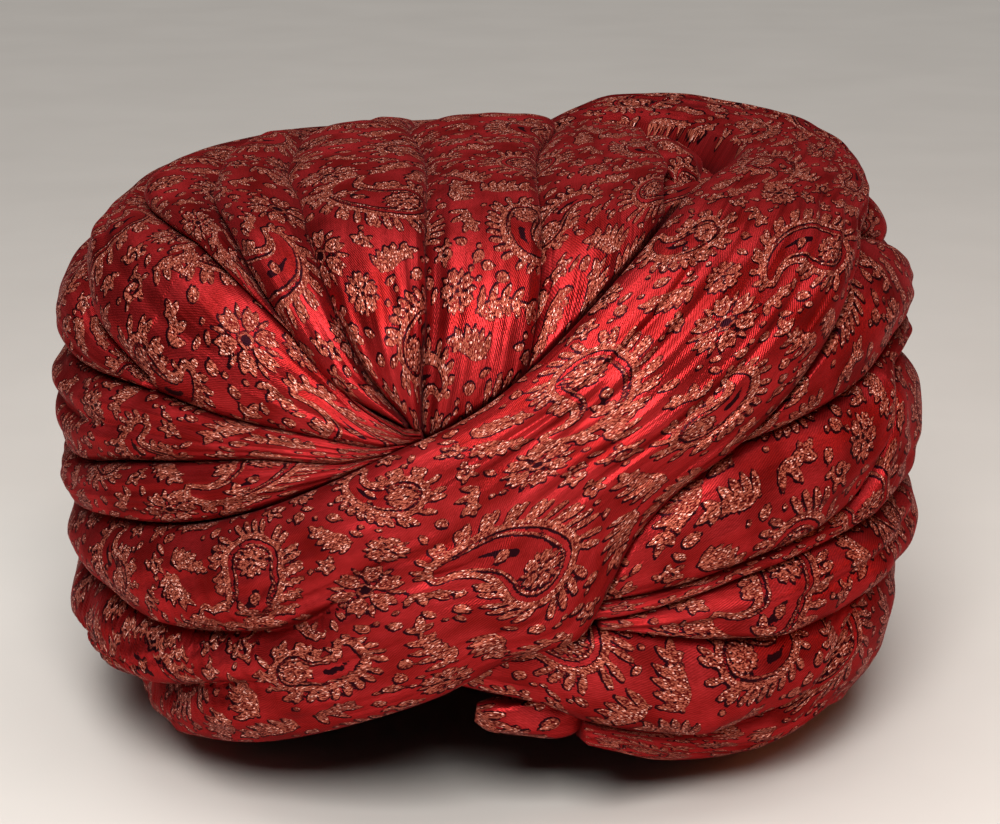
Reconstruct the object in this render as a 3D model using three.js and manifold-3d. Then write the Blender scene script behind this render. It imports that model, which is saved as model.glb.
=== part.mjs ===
// A tied turban: one long brocade cloth wound round the head, shown here as it keeps its form on a table.
// The inner turns make the hollow for the head. Pleats cover the crown, rolled turns go round the sides and
// back, and a broad band crosses the front from the top right to the lower left, over everything else.
// Millimetres, +Z up, the forehead towards -Y, the origin on the table under the middle of the turban.
//
// Every fold is laid out by directions from the middle of the belly: azimuth 0 is the forehead, +90 is
// the right and -90 the left as seen from the front, and elevation is above the belly's level. Directions
// stretch with the hull, so the folds follow each size. Lengths in the tables are shares of FOLD_DEPTH.
import * as THREE from "three";
import { mergeVertices } from "three/addons/utils/BufferGeometryUtils.js";
import Module from "manifold-3d";

const wasm = await Module();
wasm.setup();

// The hollow for the head.
const HEAD_WIDTH = 160;
const HEAD_DEPTH = 188;
const HEAD_HEIGHT = 130;
// Wound cloth from the hollow out to the crest of the folds.
const SIDE_WALL = 55;
const FRONT_WALL = 46;
const CROWN_WALL = 47;
// The height of the widest part, and how far the rounding below it would reach at the back if the table
// didn't stop it, of the folds and of the inner turns. At the forehead both are tucked in more.
const BELLY_HEIGHT = 85;
const SKIRT_DROP = 98;
const CORE_DROP = 100;
const FOREHEAD_TUCK = 8;
// A fold's padded depth, from the inner turns out to its crest, and how deep the creases between folds are.
const FOLD_DEPTH = 18;
const CREASE_DEPTH = 11;
// Clearances between two folds, and between a fold and the inner turns that it lies on.
const FOLD_GAP = 0.5;
// How far a fold's edge goes on under the neighbour that lies over it.
const UNDER_TUCK = 1.5;
const SEAT_GAP = 0.4;
// How far a fold's underside reaches into the inner turns before their place is cut out of it.
const SEAT_REACH = 5;
// Edges shorter than this, which cuts leave behind, are closed up, and triangles lower than this are turned.
const WELD = 0.06;
const NEEDLE = 0.02;

const HALF_WIDTH = HEAD_WIDTH / 2 + SIDE_WALL;
const HALF_DEPTH = HEAD_DEPTH / 2 + FRONT_WALL;
const CROWN_HEIGHT = HEAD_HEIGHT + CROWN_WALL;

// Exponents of the superellipses: 2 is round and larger is boxier.
const PLAN_POWER = 2.2;
const CROWN_POWER = 4;
const SKIRT_POWER = 3.5;
const HOLLOW_POWER = 2.6;

// Cloth colours, from the photograph.
const CRIMSON = new THREE.MeshStandardMaterial({ color: 0xa3141c, roughness: 0.45, metalness: 0.1 });
const DEEP_CRIMSON = new THREE.MeshStandardMaterial({ color: 0x6b0d14, roughness: 0.6, metalness: 0 });

const radians = THREE.MathUtils.degToRad;
const lerp = THREE.MathUtils.lerp;

// The unit direction of an azimuth and an elevation, in the hull's own proportions.
function direction(azimuth, elevation) {
  const flat = Math.cos(radians(elevation));
  return new THREE.Vector3(
    Math.sin(radians(azimuth)) * flat,
    -Math.cos(radians(azimuth)) * flat,
    Math.sin(radians(elevation)),
  );
}

// The point of a superellipsoid in a direction, lifted outwards by some millimetres. Below the belly it is
// tucked in at the forehead.
function superellipsoid(dir, halfWidth, halfDepth, halfHeight, power, lift) {
  const plan = (Math.abs(dir.x) ** PLAN_POWER + Math.abs(dir.y) ** PLAN_POWER) ** (1 / PLAN_POWER);
  const forehead = dir.z < 0 ? (1 - dir.y / Math.max(Math.hypot(dir.x, dir.y), 0.001)) / 2 : 0;
  const deep = (Math.abs(dir.z) * halfHeight) / (halfHeight - FOREHEAD_TUCK * forehead);
  const reach = (plan ** power + deep ** power) ** (-1 / power);
  const point = new THREE.Vector3(halfWidth * dir.x, halfDepth * dir.y, halfHeight * dir.z);
  point.multiplyScalar(reach);
  point.multiplyScalar(1 + lift / point.length());
  point.z += BELLY_HEIGHT;
  return point;
}

// A point on the hull that the folds' crests follow, with a lift in millimetres.
function hullPoint(dir, lift) {
  return dir.z > 0
    ? superellipsoid(dir, HALF_WIDTH, HALF_DEPTH, CROWN_HEIGHT - BELLY_HEIGHT, CROWN_POWER, lift)
    : superellipsoid(dir, HALF_WIDTH, HALF_DEPTH, SKIRT_DROP, SKIRT_POWER, lift);
}

// A point on the outside of the inner turns, which every fold lies on.
function corePoint(dir, lift) {
  const [halfHeight, power] =
    dir.z > 0 ? [CROWN_HEIGHT - BELLY_HEIGHT - FOLD_DEPTH, CROWN_POWER] : [CORE_DROP, SKIRT_POWER];
  return superellipsoid(dir, HALF_WIDTH - FOLD_DEPTH, HALF_DEPTH - FOLD_DEPTH, halfHeight, power, lift);
}

// A point on the wall of the hollow for the head: a dome above the belly, and upright below it.
function hollowPoint(dir) {
  const plan = (Math.abs(dir.x) ** PLAN_POWER + Math.abs(dir.y) ** PLAN_POWER) ** (1 / PLAN_POWER);
  const reach = dir.z > 0 ? (plan ** HOLLOW_POWER + dir.z ** HOLLOW_POWER) ** (-1 / HOLLOW_POWER) : 1 / plan;
  const height = dir.z > 0 ? (HEAD_HEIGHT - BELLY_HEIGHT) * dir.z * reach : 1.5 * BELLY_HEIGHT * dir.z;
  const [halfWidth, halfDepth] = [HEAD_WIDTH / 2, HEAD_DEPTH / 2];
  return new THREE.Vector3(halfWidth * dir.x * reach, halfDepth * dir.y * reach, BELLY_HEIGHT + height);
}

// The value at x of a smooth curve through points that rise in x, without overshoot between them.
function smooth(xs, ys, x) {
  const last = xs.length - 1;
  if (x <= xs[0]) return ys[0];
  if (x >= xs[last]) return ys[last];
  const i = xs.findIndex((edge) => edge > x) - 1;
  const slope = (k) => (ys[k + 1] - ys[k]) / (xs[k + 1] - xs[k]);
  const tangent = (k) => {
    if (k === 0) return slope(0);
    if (k === last) return slope(last - 1);
    const [before, after] = [slope(k - 1), slope(k)];
    return before * after <= 0 ? 0 : (2 * before * after) / (before + after);
  };
  const width = xs[i + 1] - xs[i];
  const t = (x - xs[i]) / width;
  return (
    ys[i] * (1 + 2 * t) * (1 - t) ** 2 +
    width * tangent(i) * t * (1 - t) ** 2 +
    ys[i + 1] * t * t * (3 - 2 * t) +
    width * tangent(i + 1) * t * t * (t - 1)
  );
}

// Reads one named column of a table at x, where the column named by key holds the rising values.
function column(table, key, name, x) {
  const rows = table.filter((row) => row[name] !== undefined);
  return smooth(rows.map((row) => row[key]), rows.map((row) => row[name]), x);
}

// The direction at a place along a table of [azimuth, elevation] pairs, by the rows' own numbers.
function directionAlong(pairs, place) {
  const knots = pairs.map((_, i) => i);
  const dirs = pairs.map(([azimuth, elevation]) => direction(azimuth, elevation));
  return new THREE.Vector3(
    smooth(knots, dirs.map((dir) => dir.x), place),
    smooth(knots, dirs.map((dir) => dir.y), place),
    smooth(knots, dirs.map((dir) => dir.z), place),
  ).normalize();
}

// The swell of a roll of cloth across its width: 0 at both edges and 1 at its crest. Above 1, lean moves
// the crest to the high edge, and fullness flattens the crest.
function swell(v, lean, fullness) {
  const across = Math.min(Math.max(v, 0), 1) ** lean;
  return Math.max(1 - Math.abs(2 * across - 1) ** fullness, 0) ** 0.5;
}

// Places across a fold, close together near both edges where the cloth rounds into the crease.
function edgeSpaced(count, from = 0, to = 1) {
  const share = (i) => (1 - Math.cos((Math.PI * i) / count)) / 2;
  return Array.from({ length: count + 1 }, (_, i) => lerp(from, to, share(i)));
}

// A closed body from sections. Each section has outer points and fewer inner points, which lie on the
// inner turns: inner point k is under outer point k * stride. Grown moves both ends out, by twice as much
// as an end may be cut on the slant.
function bodyOf(sections, stride, grown) {
  const stretch = (end, next) => {
    for (const side of ["outer", "inner"]) {
      end[side].forEach((p, k) => p.addScaledVector(p.clone().sub(next[side][k]).normalize(), 2 * grown));
    }
  };
  stretch(sections[0], sections[1]);
  stretch(sections[sections.length - 1], sections[sections.length - 2]);
  const outerCount = sections[0].outer.length;
  const innerCount = sections[0].inner.length;
  const ring = outerCount + innerCount;
  const points = sections.flatMap(({ outer, inner }) => [...outer, ...[...inner].reverse()]);
  const position = points.flatMap((p) => p.toArray());
  const triangles = [];
  for (let i = 0; i + 1 < sections.length; i++) {
    for (let k = 0; k < ring; k++) {
      const [a, b] = [i * ring + k, i * ring + ((k + 1) % ring)];
      triangles.push(a, b, a + ring, b, b + ring, a + ring);
    }
  }
  const cap = (start, flip) => {
    const face = (a, b, c) => (flip ? triangles.push(a, c, b) : triangles.push(a, b, c));
    const inner = (k) => start + ring - 1 - k;
    for (let k = 0; k + 1 < innerCount; k++) {
      for (let j = k * stride; j < (k + 1) * stride; j++) face(inner(k), start + j + 1, start + j);
      face(inner(k), inner(k + 1), start + (k + 1) * stride);
    }
  };
  cap(0, false);
  cap((sections.length - 1) * ring, true);
  return manifoldOf(position, triangles);
}

// A manifold solid that faces outwards, from positions and triangles.
function manifoldOf(position, triangles) {
  const vertProperties = new Float32Array(position);
  const make = (corners) =>
    new wasm.Manifold(new wasm.Mesh({ numProp: 3, vertProperties, triVerts: new Uint32Array(corners) }));
  const solid = make(triangles);
  if (solid.volume() > 0) return solid;
  const turned = [];
  for (let i = 0; i < triangles.length; i += 3) turned.push(triangles[i], triangles[i + 2], triangles[i + 1]);
  return make(turned);
}

// Degrees at the hull that a length in millimetres covers.
function degreesOf(length) {
  return THREE.MathUtils.radToDeg(length / HALF_WIDTH);
}

// The creases between the turns that go round the head. Each gives the elevation by the turn, which runs
// from the forehead (0) by the left side (90), the back (180) and the right side (270) to the forehead (360).
const CREASES = {
  // Under the whole skirt: the edge that the turns rest on, which rises to an arch over the forehead.
  hem: [
    { turn: 180, rise: -57 }, { turn: 270, rise: -57 }, { turn: 285, rise: -55 }, { turn: 300, rise: -51.5 },
    { turn: 313, rise: -46 }, { turn: 325, rise: -42 }, { turn: 336, rise: -38 }, { turn: 343, rise: -34 },
    { turn: 349, rise: -31 },
  ],
  // Between the two lowest right turns, and the forehead arch further on.
  lowRight: [
    { turn: 180, rise: -19 }, { turn: 270, rise: -18 }, { turn: 303, rise: -18 }, { turn: 307, rise: -19.5 },
    { turn: 311, rise: -23.5 }, { turn: 316, rise: -30 }, { turn: 323, rise: -33 },
    { turn: 331, rise: -34.5 }, { turn: 338, rise: -33 }, { turn: 347, rise: -30 },
    { turn: 353, rise: -26.5 }, { turn: 360, rise: -24 }, { turn: 366, rise: -22 },
  ],
  middleRight: [
    { turn: 180, rise: -19 }, { turn: 270, rise: -18 }, { turn: 300, rise: -17 }, { turn: 318, rise: -18 },
    { turn: 332, rise: -16.5 }, { turn: 344, rise: -13.5 }, { turn: 352, rise: -12.5 },
    { turn: 366, rise: -11 },
  ],
  // The crossing band's upper edge on the left, and over the middle right turn on the right.
  bandTop: [
    { turn: 10, rise: 16.8 }, { turn: 14, rise: 15.6 }, { turn: 18, rise: 13 }, { turn: 23, rise: 9.5 },
    { turn: 30, rise: 5 }, { turn: 42, rise: 0 }, { turn: 54, rise: -3 }, { turn: 69, rise: -6.5 },
    { turn: 92, rise: -8.5 }, { turn: 180, rise: -8 }, { turn: 270, rise: -4.5 }, { turn: 296, rise: -3.5 },
    { turn: 313, rise: -4.5 }, { turn: 327, rise: -6.5 }, { turn: 337, rise: -9.5 },
    { turn: 345, rise: -11.5 }, { turn: 352, rise: -12 },
  ],
  sideMiddle: [
    { turn: 10, rise: 18.2 }, { turn: 14, rise: 17 }, { turn: 18, rise: 15.6 }, { turn: 27, rise: 15 },
    { turn: 36, rise: 13 }, { turn: 50, rise: 9 }, { turn: 70, rise: 2.5 }, { turn: 92, rise: 1.5 },
    { turn: 180, rise: 5 }, { turn: 250, rise: 13 }, { turn: 275, rise: 19 }, { turn: 290, rise: 22 },
    { turn: 297, rise: 21 }, { turn: 301, rise: 13.5 }, { turn: 305, rise: 5.5 }, { turn: 310, rise: 0.5 },
    { turn: 317, rise: -2 }, { turn: 326, rise: -4 }, { turn: 340, rise: -7.5 }, { turn: 352, rise: -9 },
  ],
  sideTop: [
    { turn: 10, rise: 19.6 }, { turn: 14, rise: 18.8 }, { turn: 21, rise: 19.8 }, { turn: 34, rise: 21 },
    { turn: 46, rise: 22.5 }, { turn: 66, rise: 21.5 }, { turn: 92, rise: 21.5 }, { turn: 180, rise: 23 },
    { turn: 270, rise: 26 }, { turn: 294, rise: 25.5 }, { turn: 307, rise: 21.5 }, { turn: 323, rise: 18 },
    { turn: 331, rise: 16 }, { turn: 338, rise: 11.5 }, { turn: 346, rise: 4 }, { turn: 352, rise: -2 },
  ],
  shoulderMiddle: [
    { turn: 44, rise: 23.4 }, { turn: 50, rise: 26 }, { turn: 59, rise: 29.5 }, { turn: 68, rise: 34.5 },
    { turn: 90, rise: 38 }, { turn: 180, rise: 39 }, { turn: 250, rise: 37 }, { turn: 272, rise: 35.5 },
    { turn: 284, rise: 40.5 }, { turn: 295, rise: 43.5 }, { turn: 310, rise: 40 }, { turn: 322, rise: 30 },
    { turn: 333, rise: 21 }, { turn: 338, rise: 14 },
  ],
  crownEdge: [
    { turn: 10, rise: 21 }, { turn: 16, rise: 25.5 }, { turn: 21, rise: 31 }, { turn: 29, rise: 37 },
    { turn: 42, rise: 43 }, { turn: 52, rise: 45.5 }, { turn: 68, rise: 46.5 }, { turn: 95, rise: 46 },
    { turn: 125, rise: 52 }, { turn: 180, rise: 55 }, { turn: 225, rise: 53 }, { turn: 260, rise: 49 },
    { turn: 285, rise: 49 }, { turn: 298, rise: 50 },
  ],
  crownRollTop: [
    { turn: 10, rise: 22.2 }, { turn: 19, rise: 27.5 }, { turn: 30, rise: 38.5 }, { turn: 45, rise: 47.8 },
    { turn: 65, rise: 53 }, { turn: 90, rise: 56 }, { turn: 112, rise: 56 }, { turn: 128, rise: 53.6 },
  ],
};

const rise = (crease, turn) => column(CREASES[crease], "turn", "rise", turn);

// The turns, each between two creases. Rows along a turn give its crest and the depth of its edges, as
// shares of FOLD_DEPTH below the hull: the turns sink where they gather at the forehead.
const GATHERED = [
  { turn: 10, sink: 0.5 }, { turn: 24, sink: 0.32 }, { turn: 42, sink: 0.06 }, { turn: 60, sink: 0 },
  { turn: 320, sink: 0 }, { turn: 338, sink: 0.12 }, { turn: 352, sink: 0.3 },
];
// From the crown down: each turn lies over the next one's upper edge. Hem is the depth of a lower edge that
// rests on the table, as a share of a crease's.
const TURNS = [
  { name: "crown_roll", low: "crownEdge", high: "crownRollTop", from: 11, to: 126 },
  { name: "upper_shoulder_turn", low: "shoulder", high: "crownEdge", from: 11, to: 297 },
  { name: "lower_shoulder_turn", low: "sideTop", high: "shoulderMiddle", from: 46, to: 337 },
  { name: "upper_side_turn", low: "sideMiddle", high: "sideTop", from: 11, to: 349 },
  { name: "lower_side_turn", low: "bandTop", high: "sideMiddle", from: 11, to: 347 },
  { name: "middle_right_turn", low: "middleRight", high: "bandTop", from: 154, to: 346 },
  { name: "arch_right_turn", low: "lowRight", high: "middleRight", from: 303, to: 364 },
  { name: "lowest_right_turn", low: "hem", high: "lowRight", from: 160, to: 347, hem: 0.25 },
];
// The turns' crests lie a little under their middle, and are about as round as a loosely filled roll.
const TURN_LEAN = 0.85;
const TURN_FULLNESS = 2.3;
// A turn narrower than this, in degrees, swells less.
const NARROW_TURN = 12;
const LEAST_SWELL = 0.45;
const TURN_STEP = 12;
const TURN_ACROSS = 6;

// The upper shoulder turn lies on the side turn until the lower shoulder turn comes between them.
function creaseRise(crease, turn) {
  if (crease !== "shoulder") return rise(crease, turn);
  return turn < CREASES.shoulderMiddle[0].turn ? rise("sideTop", turn) : rise("shoulderMiddle", turn);
}

// The places of a turn's sections. Turns share them, so that neighbours' edges run side by side.
function stations(from, to) {
  const shared = [];
  for (let turn = Math.ceil(from / TURN_STEP) * TURN_STEP; turn < to - 2; turn += TURN_STEP) {
    if (turn > from + 2) shared.push(turn);
  }
  return [from, ...shared, to];
}

// One turn as a solid. Grown makes it a little larger all round, to cut its place out of later pieces.
function turnSolid({ low, high, from, to, hem = 1 }, grown = 0) {
  const places = edgeSpaced(TURN_ACROSS);
  const margin = degreesOf(grown);
  const sections = stations(from, to).map((turn) => {
    const bottom = creaseRise(low, turn) - margin;
    const top = Math.max(creaseRise(high, turn), bottom + margin) + degreesOf(UNDER_TUCK) + margin;
    const sink = column(GATHERED, "turn", "sink", turn) * FOLD_DEPTH;
    const swelling = lerp(LEAST_SWELL, 1, Math.min((top - bottom - 2 * margin) / NARROW_TURN, 1));
    const outer = places.map((v) => {
      const edge = -CREASE_DEPTH * lerp(hem, 1, v);
      const lift = lerp(edge, -sink, swell(v, TURN_LEAN, TURN_FULLNESS) * swelling);
      return hullPoint(direction(-turn, lerp(bottom, top, v)), lift + grown);
    });
    const inner = [0, 0.5, 1].map((v) => corePoint(direction(-turn, lerp(bottom, top, v)), -SEAT_REACH));
    return { outer, inner };
  });
  return bodyOf(sections, TURN_ACROSS / 2, grown);
}

// The edges between the crown's pleats, from where they gather at the forehead, over the top, to the back.
const CROWN_LINES = {
  left: [[-10, 22.4], [-19, 27.7], [-30, 38.7], [-45, 48], [-65, 53.2], [-90, 56.2], [-112, 56], [-128, 52]],
  first: [[-9.5, 23], [-15, 30], [-21, 40], [-29, 49], [-42, 57], [-75, 63.5], [-115, 62], [-143, 52]],
  second: [[-8, 22], [-8, 31], [-8, 41], [-10, 51], [-17, 65], [-80, 81], [-150, 68], [-166, 53]],
  third: [[0, 20], [5, 31], [7, 41], [9, 51], [14, 65], [75, 83], [155, 68], [170, 53]],
  fourth: [[20, 36], [27, 47], [34, 54], [46, 61], [66, 65.5], [100, 68], [130, 63], [146, 52]],
  right: [[44, 38], [54, 44], [64, 49], [76, 52], [90, 53], [104, 53], [116, 52.5], [128, 51]],
};
// The pleats lie like shingles: each one's left edge is tucked low and its right edge lies over the next.
const PLEATS = [
  { from: "left", to: "first", tucked: 0.55, over: 0.5, crest: 0.02, lean: 1.1, fullness: 2.4 },
  { from: "first", to: "second", tucked: 0.34, over: 0.26, crest: 0, lean: 1.5, fullness: 3.6 },
  { from: "second", to: "third", tucked: 0.3, over: 0.26, crest: -0.03, lean: 1.6, fullness: 4 },
  { from: "third", to: "fourth", tucked: 0.3, over: 0.22, crest: 0, lean: 1.4, fullness: 3.6 },
  { from: "fourth", to: "right", tucked: 0.5, over: 0.7, crest: 0.45, lean: 1, fullness: 2.6 },
];
// How far the pleats sink, by their length's share: they gather at the forehead and tuck in at the back.
const PLEAT_SINK = [
  { along: 0, sink: 0.5 }, { along: 0.1, sink: 0.38 }, { along: 0.3, sink: 0.1 }, { along: 0.45, sink: 0 },
  { along: 0.85, sink: 0 }, { along: 1, sink: 0.2 },
];
const PLEAT_STEPS = 12;
const PLEAT_ACROSS = 4;

function pleatSolid({ from, to, tucked, over, crest, lean, fullness }, grown = 0) {
  const places = edgeSpaced(PLEAT_ACROSS);
  const last = CROWN_LINES[from].length - 1;
  const sections = Array.from({ length: PLEAT_STEPS + 1 }, (_, i) => {
    const along = i / PLEAT_STEPS;
    const left = directionAlong(CROWN_LINES[from], along * last);
    const right = directionAlong(CROWN_LINES[to], along * last);
    const width = left.distanceTo(right);
    const start = -radians(degreesOf(UNDER_TUCK + grown)) / width;
    const end = 1 + radians(degreesOf(grown)) / width;
    const sink = column(PLEAT_SINK, "along", "sink", along);
    const across = (v) => left.clone().lerp(right, lerp(start, end, v)).normalize();
    const outer = places.map((v) => {
      const edge = lerp(tucked, over, v);
      const depth = lerp(edge, crest, swell(v, lean, fullness)) + sink * (1 - 0.4 * edge);
      return hullPoint(across(v), grown - FOLD_DEPTH * depth);
    });
    const inner = [0, 0.5, 1].map((v) => corePoint(across(v), -SEAT_REACH));
    return { outer, inner };
  });
  return bodyOf(sections, PLEAT_ACROSS / 2, grown);
}

// The crossing band, by sections from the crown's back, round the hollow at the top right, down over the
// forehead to the lower left, and round the left side to the back. Crest, rim (upper edge) and hem (lower
// edge) are shares of FOLD_DEPTH above the hull. It parts into three rolls on the left: the places of the
// two grooves between them are shares of its width from the hem, and a groove of 1 is a full crease.
const BAND = [
  {
    upper: [168, 62], lower: [160, 54],
    crest: 0.1, rim: -0.3, hem: -0.4, low: 0.3, high: 0.6, lowGroove: 0, highGroove: 0,
  },
  { upper: [146, 67], lower: [146, 53], crest: 0.55, rim: 0 },
  { upper: [122, 66], lower: [130, 50], crest: 0.9, rim: 0.2 },
  { upper: [100, 62.5], lower: [112, 46], crest: 1, rim: 0.3 },
  { upper: [80, 59.5], lower: [92, 44], crest: 0.85, rim: 0.25, hem: -0.3 },
  { upper: [58, 58.5], lower: [76, 43], crest: 0.7 },
  { upper: [42, 56], lower: [64, 41.5], crest: 0.6 },
  { upper: [30, 51], lower: [54, 37], crest: 0.55, rim: 0.1 },
  { upper: [20, 44.5], lower: [46, 31] },
  { upper: [12, 37.5], lower: [38, 24], crest: 0.5 },
  { upper: [5, 30.5], lower: [30, 17], rim: -0.05, hem: -0.25 },
  { upper: [-1, 25], lower: [22, 10.5], crest: 0.42 },
  { upper: [-6, 21.5], lower: [17, 3], rim: -0.2 },
  { upper: [-10, 19], lower: [14, -5.5], crest: 0.4, rim: -0.25, hem: -0.2 },
  { upper: [-14, 16], lower: [11, -12.5], crest: 0.4, highGroove: 0 },
  { upper: [-18, 13], lower: [3, -16], rim: -0.3, high: 0.6 },
  { upper: [-23, 9.5], lower: [-5, -22], crest: 0.33, high: 0.55, highGroove: 0.25 },
  {
    upper: [-30, 5], lower: [-16, -28],
    crest: 0.24, low: 0.3, high: 0.48, lowGroove: 0, highGroove: 0.7,
  },
  {
    upper: [-38, 1], lower: [-28, -34],
    rim: -0.5, low: 0.32, high: 0.51, lowGroove: 0.5, highGroove: 0.95,
  },
  {
    upper: [-48, -2], lower: [-42, -40.5],
    crest: 0.12, low: 0.3, high: 0.59, lowGroove: 0.9, highGroove: 1,
  },
  {
    upper: [-60, -4.5], lower: [-57, -48],
    crest: 0.05, rim: -0.6, low: 0.33, high: 0.69, lowGroove: 1,
  },
  { upper: [-75, -7], lower: [-74, -54], low: 0.36, high: 0.74 },
  { upper: [-92, -8.5], lower: [-92, -57], high: 0.76 },
  { upper: [-112, -8.5], lower: [-112, -57] },
  { upper: [-132, -8.5], lower: [-134, -57], crest: 0.05 },
  {
    upper: [-150, -8.5], lower: [-156, -57],
    crest: 0.1, low: 0.36, high: 0.76, lowGroove: 0.7, highGroove: 0.8,
  },
  {
    upper: [-161, -8], lower: [-174, -57],
    crest: -0.3, rim: -0.6, hem: -0.4, lowGroove: 0.4, highGroove: 0.4,
  },
].map((row, at) => ({ at, ...row }));
const BAND_STEPS = 38;
// Intervals across each of the band's three rolls, and how far a groove's rounding reaches to its sides.
const ROLL_ACROSS = 4;
const GROOVE_REACH = 0.17;

const bandColumn = (name, at) => column(BAND, "at", name, at);

// The outer lift of the band at a section and a place across it, in millimetres.
function bandLift(at, v) {
  const edge = lerp(bandColumn("hem", at), bandColumn("rim", at), v);
  let lift = FOLD_DEPTH * lerp(edge, bandColumn("crest", at), swell(v, 1, 2.6));
  for (const name of ["low", "high"]) {
    const away = Math.abs(v - bandColumn(name, at)) / GROOVE_REACH;
    if (away < 1) lift -= CREASE_DEPTH * bandColumn(name + "Groove", at) * (1 - Math.sqrt(away)) ** 1.5;
  }
  return lift;
}

function bandSolid(grown = 0) {
  const lastAt = BAND.length - 1;
  const reach = -radians(degreesOf(grown));
  const sections = Array.from({ length: BAND_STEPS + 1 }, (_, i) => {
    const at = (i / BAND_STEPS) * lastAt;
    const upper = directionAlong(BAND.map((row) => row.upper), at);
    const lower = directionAlong(BAND.map((row) => row.lower), at);
    const margin = reach / lower.distanceTo(upper);
    const across = (v) => lower.clone().lerp(upper, lerp(margin, 1 - margin, v)).normalize();
    const [low, high] = [bandColumn("low", at), bandColumn("high", at)];
    const places = [
      ...edgeSpaced(ROLL_ACROSS, 0, low),
      ...edgeSpaced(ROLL_ACROSS, low, high).slice(1),
      ...edgeSpaced(ROLL_ACROSS, high, 1).slice(1),
    ];
    const outer = places.map((v) => hullPoint(across(v), bandLift(at, v) + grown));
    const seats = places.filter((_, k) => k % ROLL_ACROSS === 0);
    const inner = seats.map((v) => corePoint(across(v), -SEAT_REACH));
    return { outer, inner };
  });
  return bodyOf(sections, ROLL_ACROSS, grown);
}

// A closed solid from rings of points, with a fan over each end.
function ringsSolid(rings) {
  const around = rings[0].length;
  const position = rings.flat().flatMap((p) => p.toArray());
  for (const ring of [rings[0], rings[rings.length - 1]]) {
    const centre = ring.reduce((sum, p) => sum.add(p), new THREE.Vector3()).divideScalar(around);
    position.push(...centre.toArray());
  }
  const triangles = [];
  const lastRing = (rings.length - 1) * around;
  for (let k = 0; k < around; k++) {
    const next = (k + 1) % around;
    for (let i = 0; i < lastRing; i += around) {
      triangles.push(i + k, i + next, i + around + k, i + next, i + around + next, i + around + k);
    }
    triangles.push(rings.length * around, next, k);
    triangles.push(rings.length * around + 1, lastRing + k, lastRing + next);
  }
  return manifoldOf(position, triangles);
}

// A solid from a surface given by directions, between two elevations.
function roundSolid(pointAt, around, lowest, highest, rows) {
  const ring = (elevation) =>
    Array.from({ length: around }, (_, k) => pointAt(direction((360 * (k + 0.5)) / around, elevation)));
  return ringsSolid(Array.from({ length: rows + 1 }, (_, i) => ring(lerp(lowest, highest, i / rows))));
}

// The lower edge of the inner turns, over the forehead arch and down to the table elsewhere.
const INNER_EDGE = [
  { turn: -180, rise: -53 }, { turn: -60, rise: -53 }, { turn: -46, rise: -44 }, { turn: -30, rise: -34 },
  { turn: -14, rise: -24.5 }, { turn: 4, rise: -18 }, { turn: 18, rise: -24.5 }, { turn: 33, rise: -33 },
  { turn: 48, rise: -43 }, { turn: 62, rise: -53 }, { turn: 180, rise: -53 },
];
const CORE_AROUND = 30;

const coreSolid = (lift) => roundSolid((dir) => corePoint(dir, lift), CORE_AROUND, -60, 81, 9);

// Everything below the inner turns' lower edge: a cone from the middle of the belly, down past the table.
function belowInnerEdge() {
  const apex = new THREE.Vector3(0, 0, BELLY_HEIGHT);
  const rim = Array.from({ length: CORE_AROUND }, (_, k) => {
    const turn = (360 * k) / CORE_AROUND - 180;
    const dir = direction(-turn, column(INNER_EDGE, "turn", "rise", turn));
    return corePoint(dir, 0).sub(apex).multiplyScalar(2).add(apex);
  });
  const foot = rim.map((p) => new THREE.Vector3(p.x, p.y, -3 * BELLY_HEIGHT));
  const tip = rim.map((p) => apex.clone().lerp(p, 0.001));
  return ringsSolid([foot, rim, tip]);
}

// A block under the table, to cut flat faces where cloth rests.
function underTable() {
  const corner = (x, y, z) => new THREE.Vector3(x * 2 * HALF_WIDTH, y * 2 * HALF_DEPTH, z);
  const square = (z) => [corner(1, 1, z), corner(-1, 1, z), corner(-1, -1, z), corner(1, -1, z)];
  return ringsSolid([square(-BELLY_HEIGHT), square(0)]);
}

const hollowSolid = () => roundSolid(hollowPoint, 24, -50, 80, 8);

function innerTurnsSolid() {
  return coreSolid(0).subtract(hollowSolid()).subtract(belowInnerEdge()).subtract(underTable());
}

// The rings of a soft roll that follows centres, facing outwards, with half widths and half thicknesses.
function rollRings(centres, outwards, halfWidths, halfThicknesses, around) {
  return centres.map((centre, i) => {
    const [before, after] = [centres[Math.max(i - 1, 0)], centres[Math.min(i + 1, centres.length - 1)]];
    const along = after.clone().sub(before).normalize();
    const side = along.clone().cross(outwards[i]).normalize();
    const out = side.clone().cross(along);
    return Array.from({ length: around }, (_, k) => {
      const angle = (2 * Math.PI * k) / around;
      return centre.clone()
        .addScaledVector(side, halfWidths[i] * Math.cos(angle))
        .addScaledVector(out, halfThicknesses[i] * Math.sin(angle));
    });
  });
}

// Small soft rolls, by directions and by shares of FOLD_DEPTH: the lift of the roll's middle, and half its
// width. One shows inside the crown's hollow at the top right. The other is the cloth's small tucked end,
// which hangs under the forehead arch.
const ROLLS = {
  hollow_tuck: [
    { dir: [62, 62], lift: -0.42, half: 0.1 },
    { dir: [72, 63.5], lift: -0.3, half: 0.36 },
    { dir: [88, 65], lift: -0.24, half: 0.46 },
    { dir: [106, 67], lift: -0.26, half: 0.4 },
    { dir: [122, 69], lift: -0.36, half: 0.12 },
  ],
  tail_end: [
    { dir: [17, -33], lift: -0.68, half: 0.14 },
    { dir: [13, -31.5], lift: -0.66, half: 0.34 },
    { dir: [7, -30.5], lift: -0.64, half: 0.45 },
    { dir: [1, -30], lift: -0.66, half: 0.36 },
    { dir: [-2.5, -29], lift: -0.7, half: 0.1 },
  ],
};
const ROLL_FLATNESS = 0.7;
const ROLL_AROUND = 8;

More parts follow.
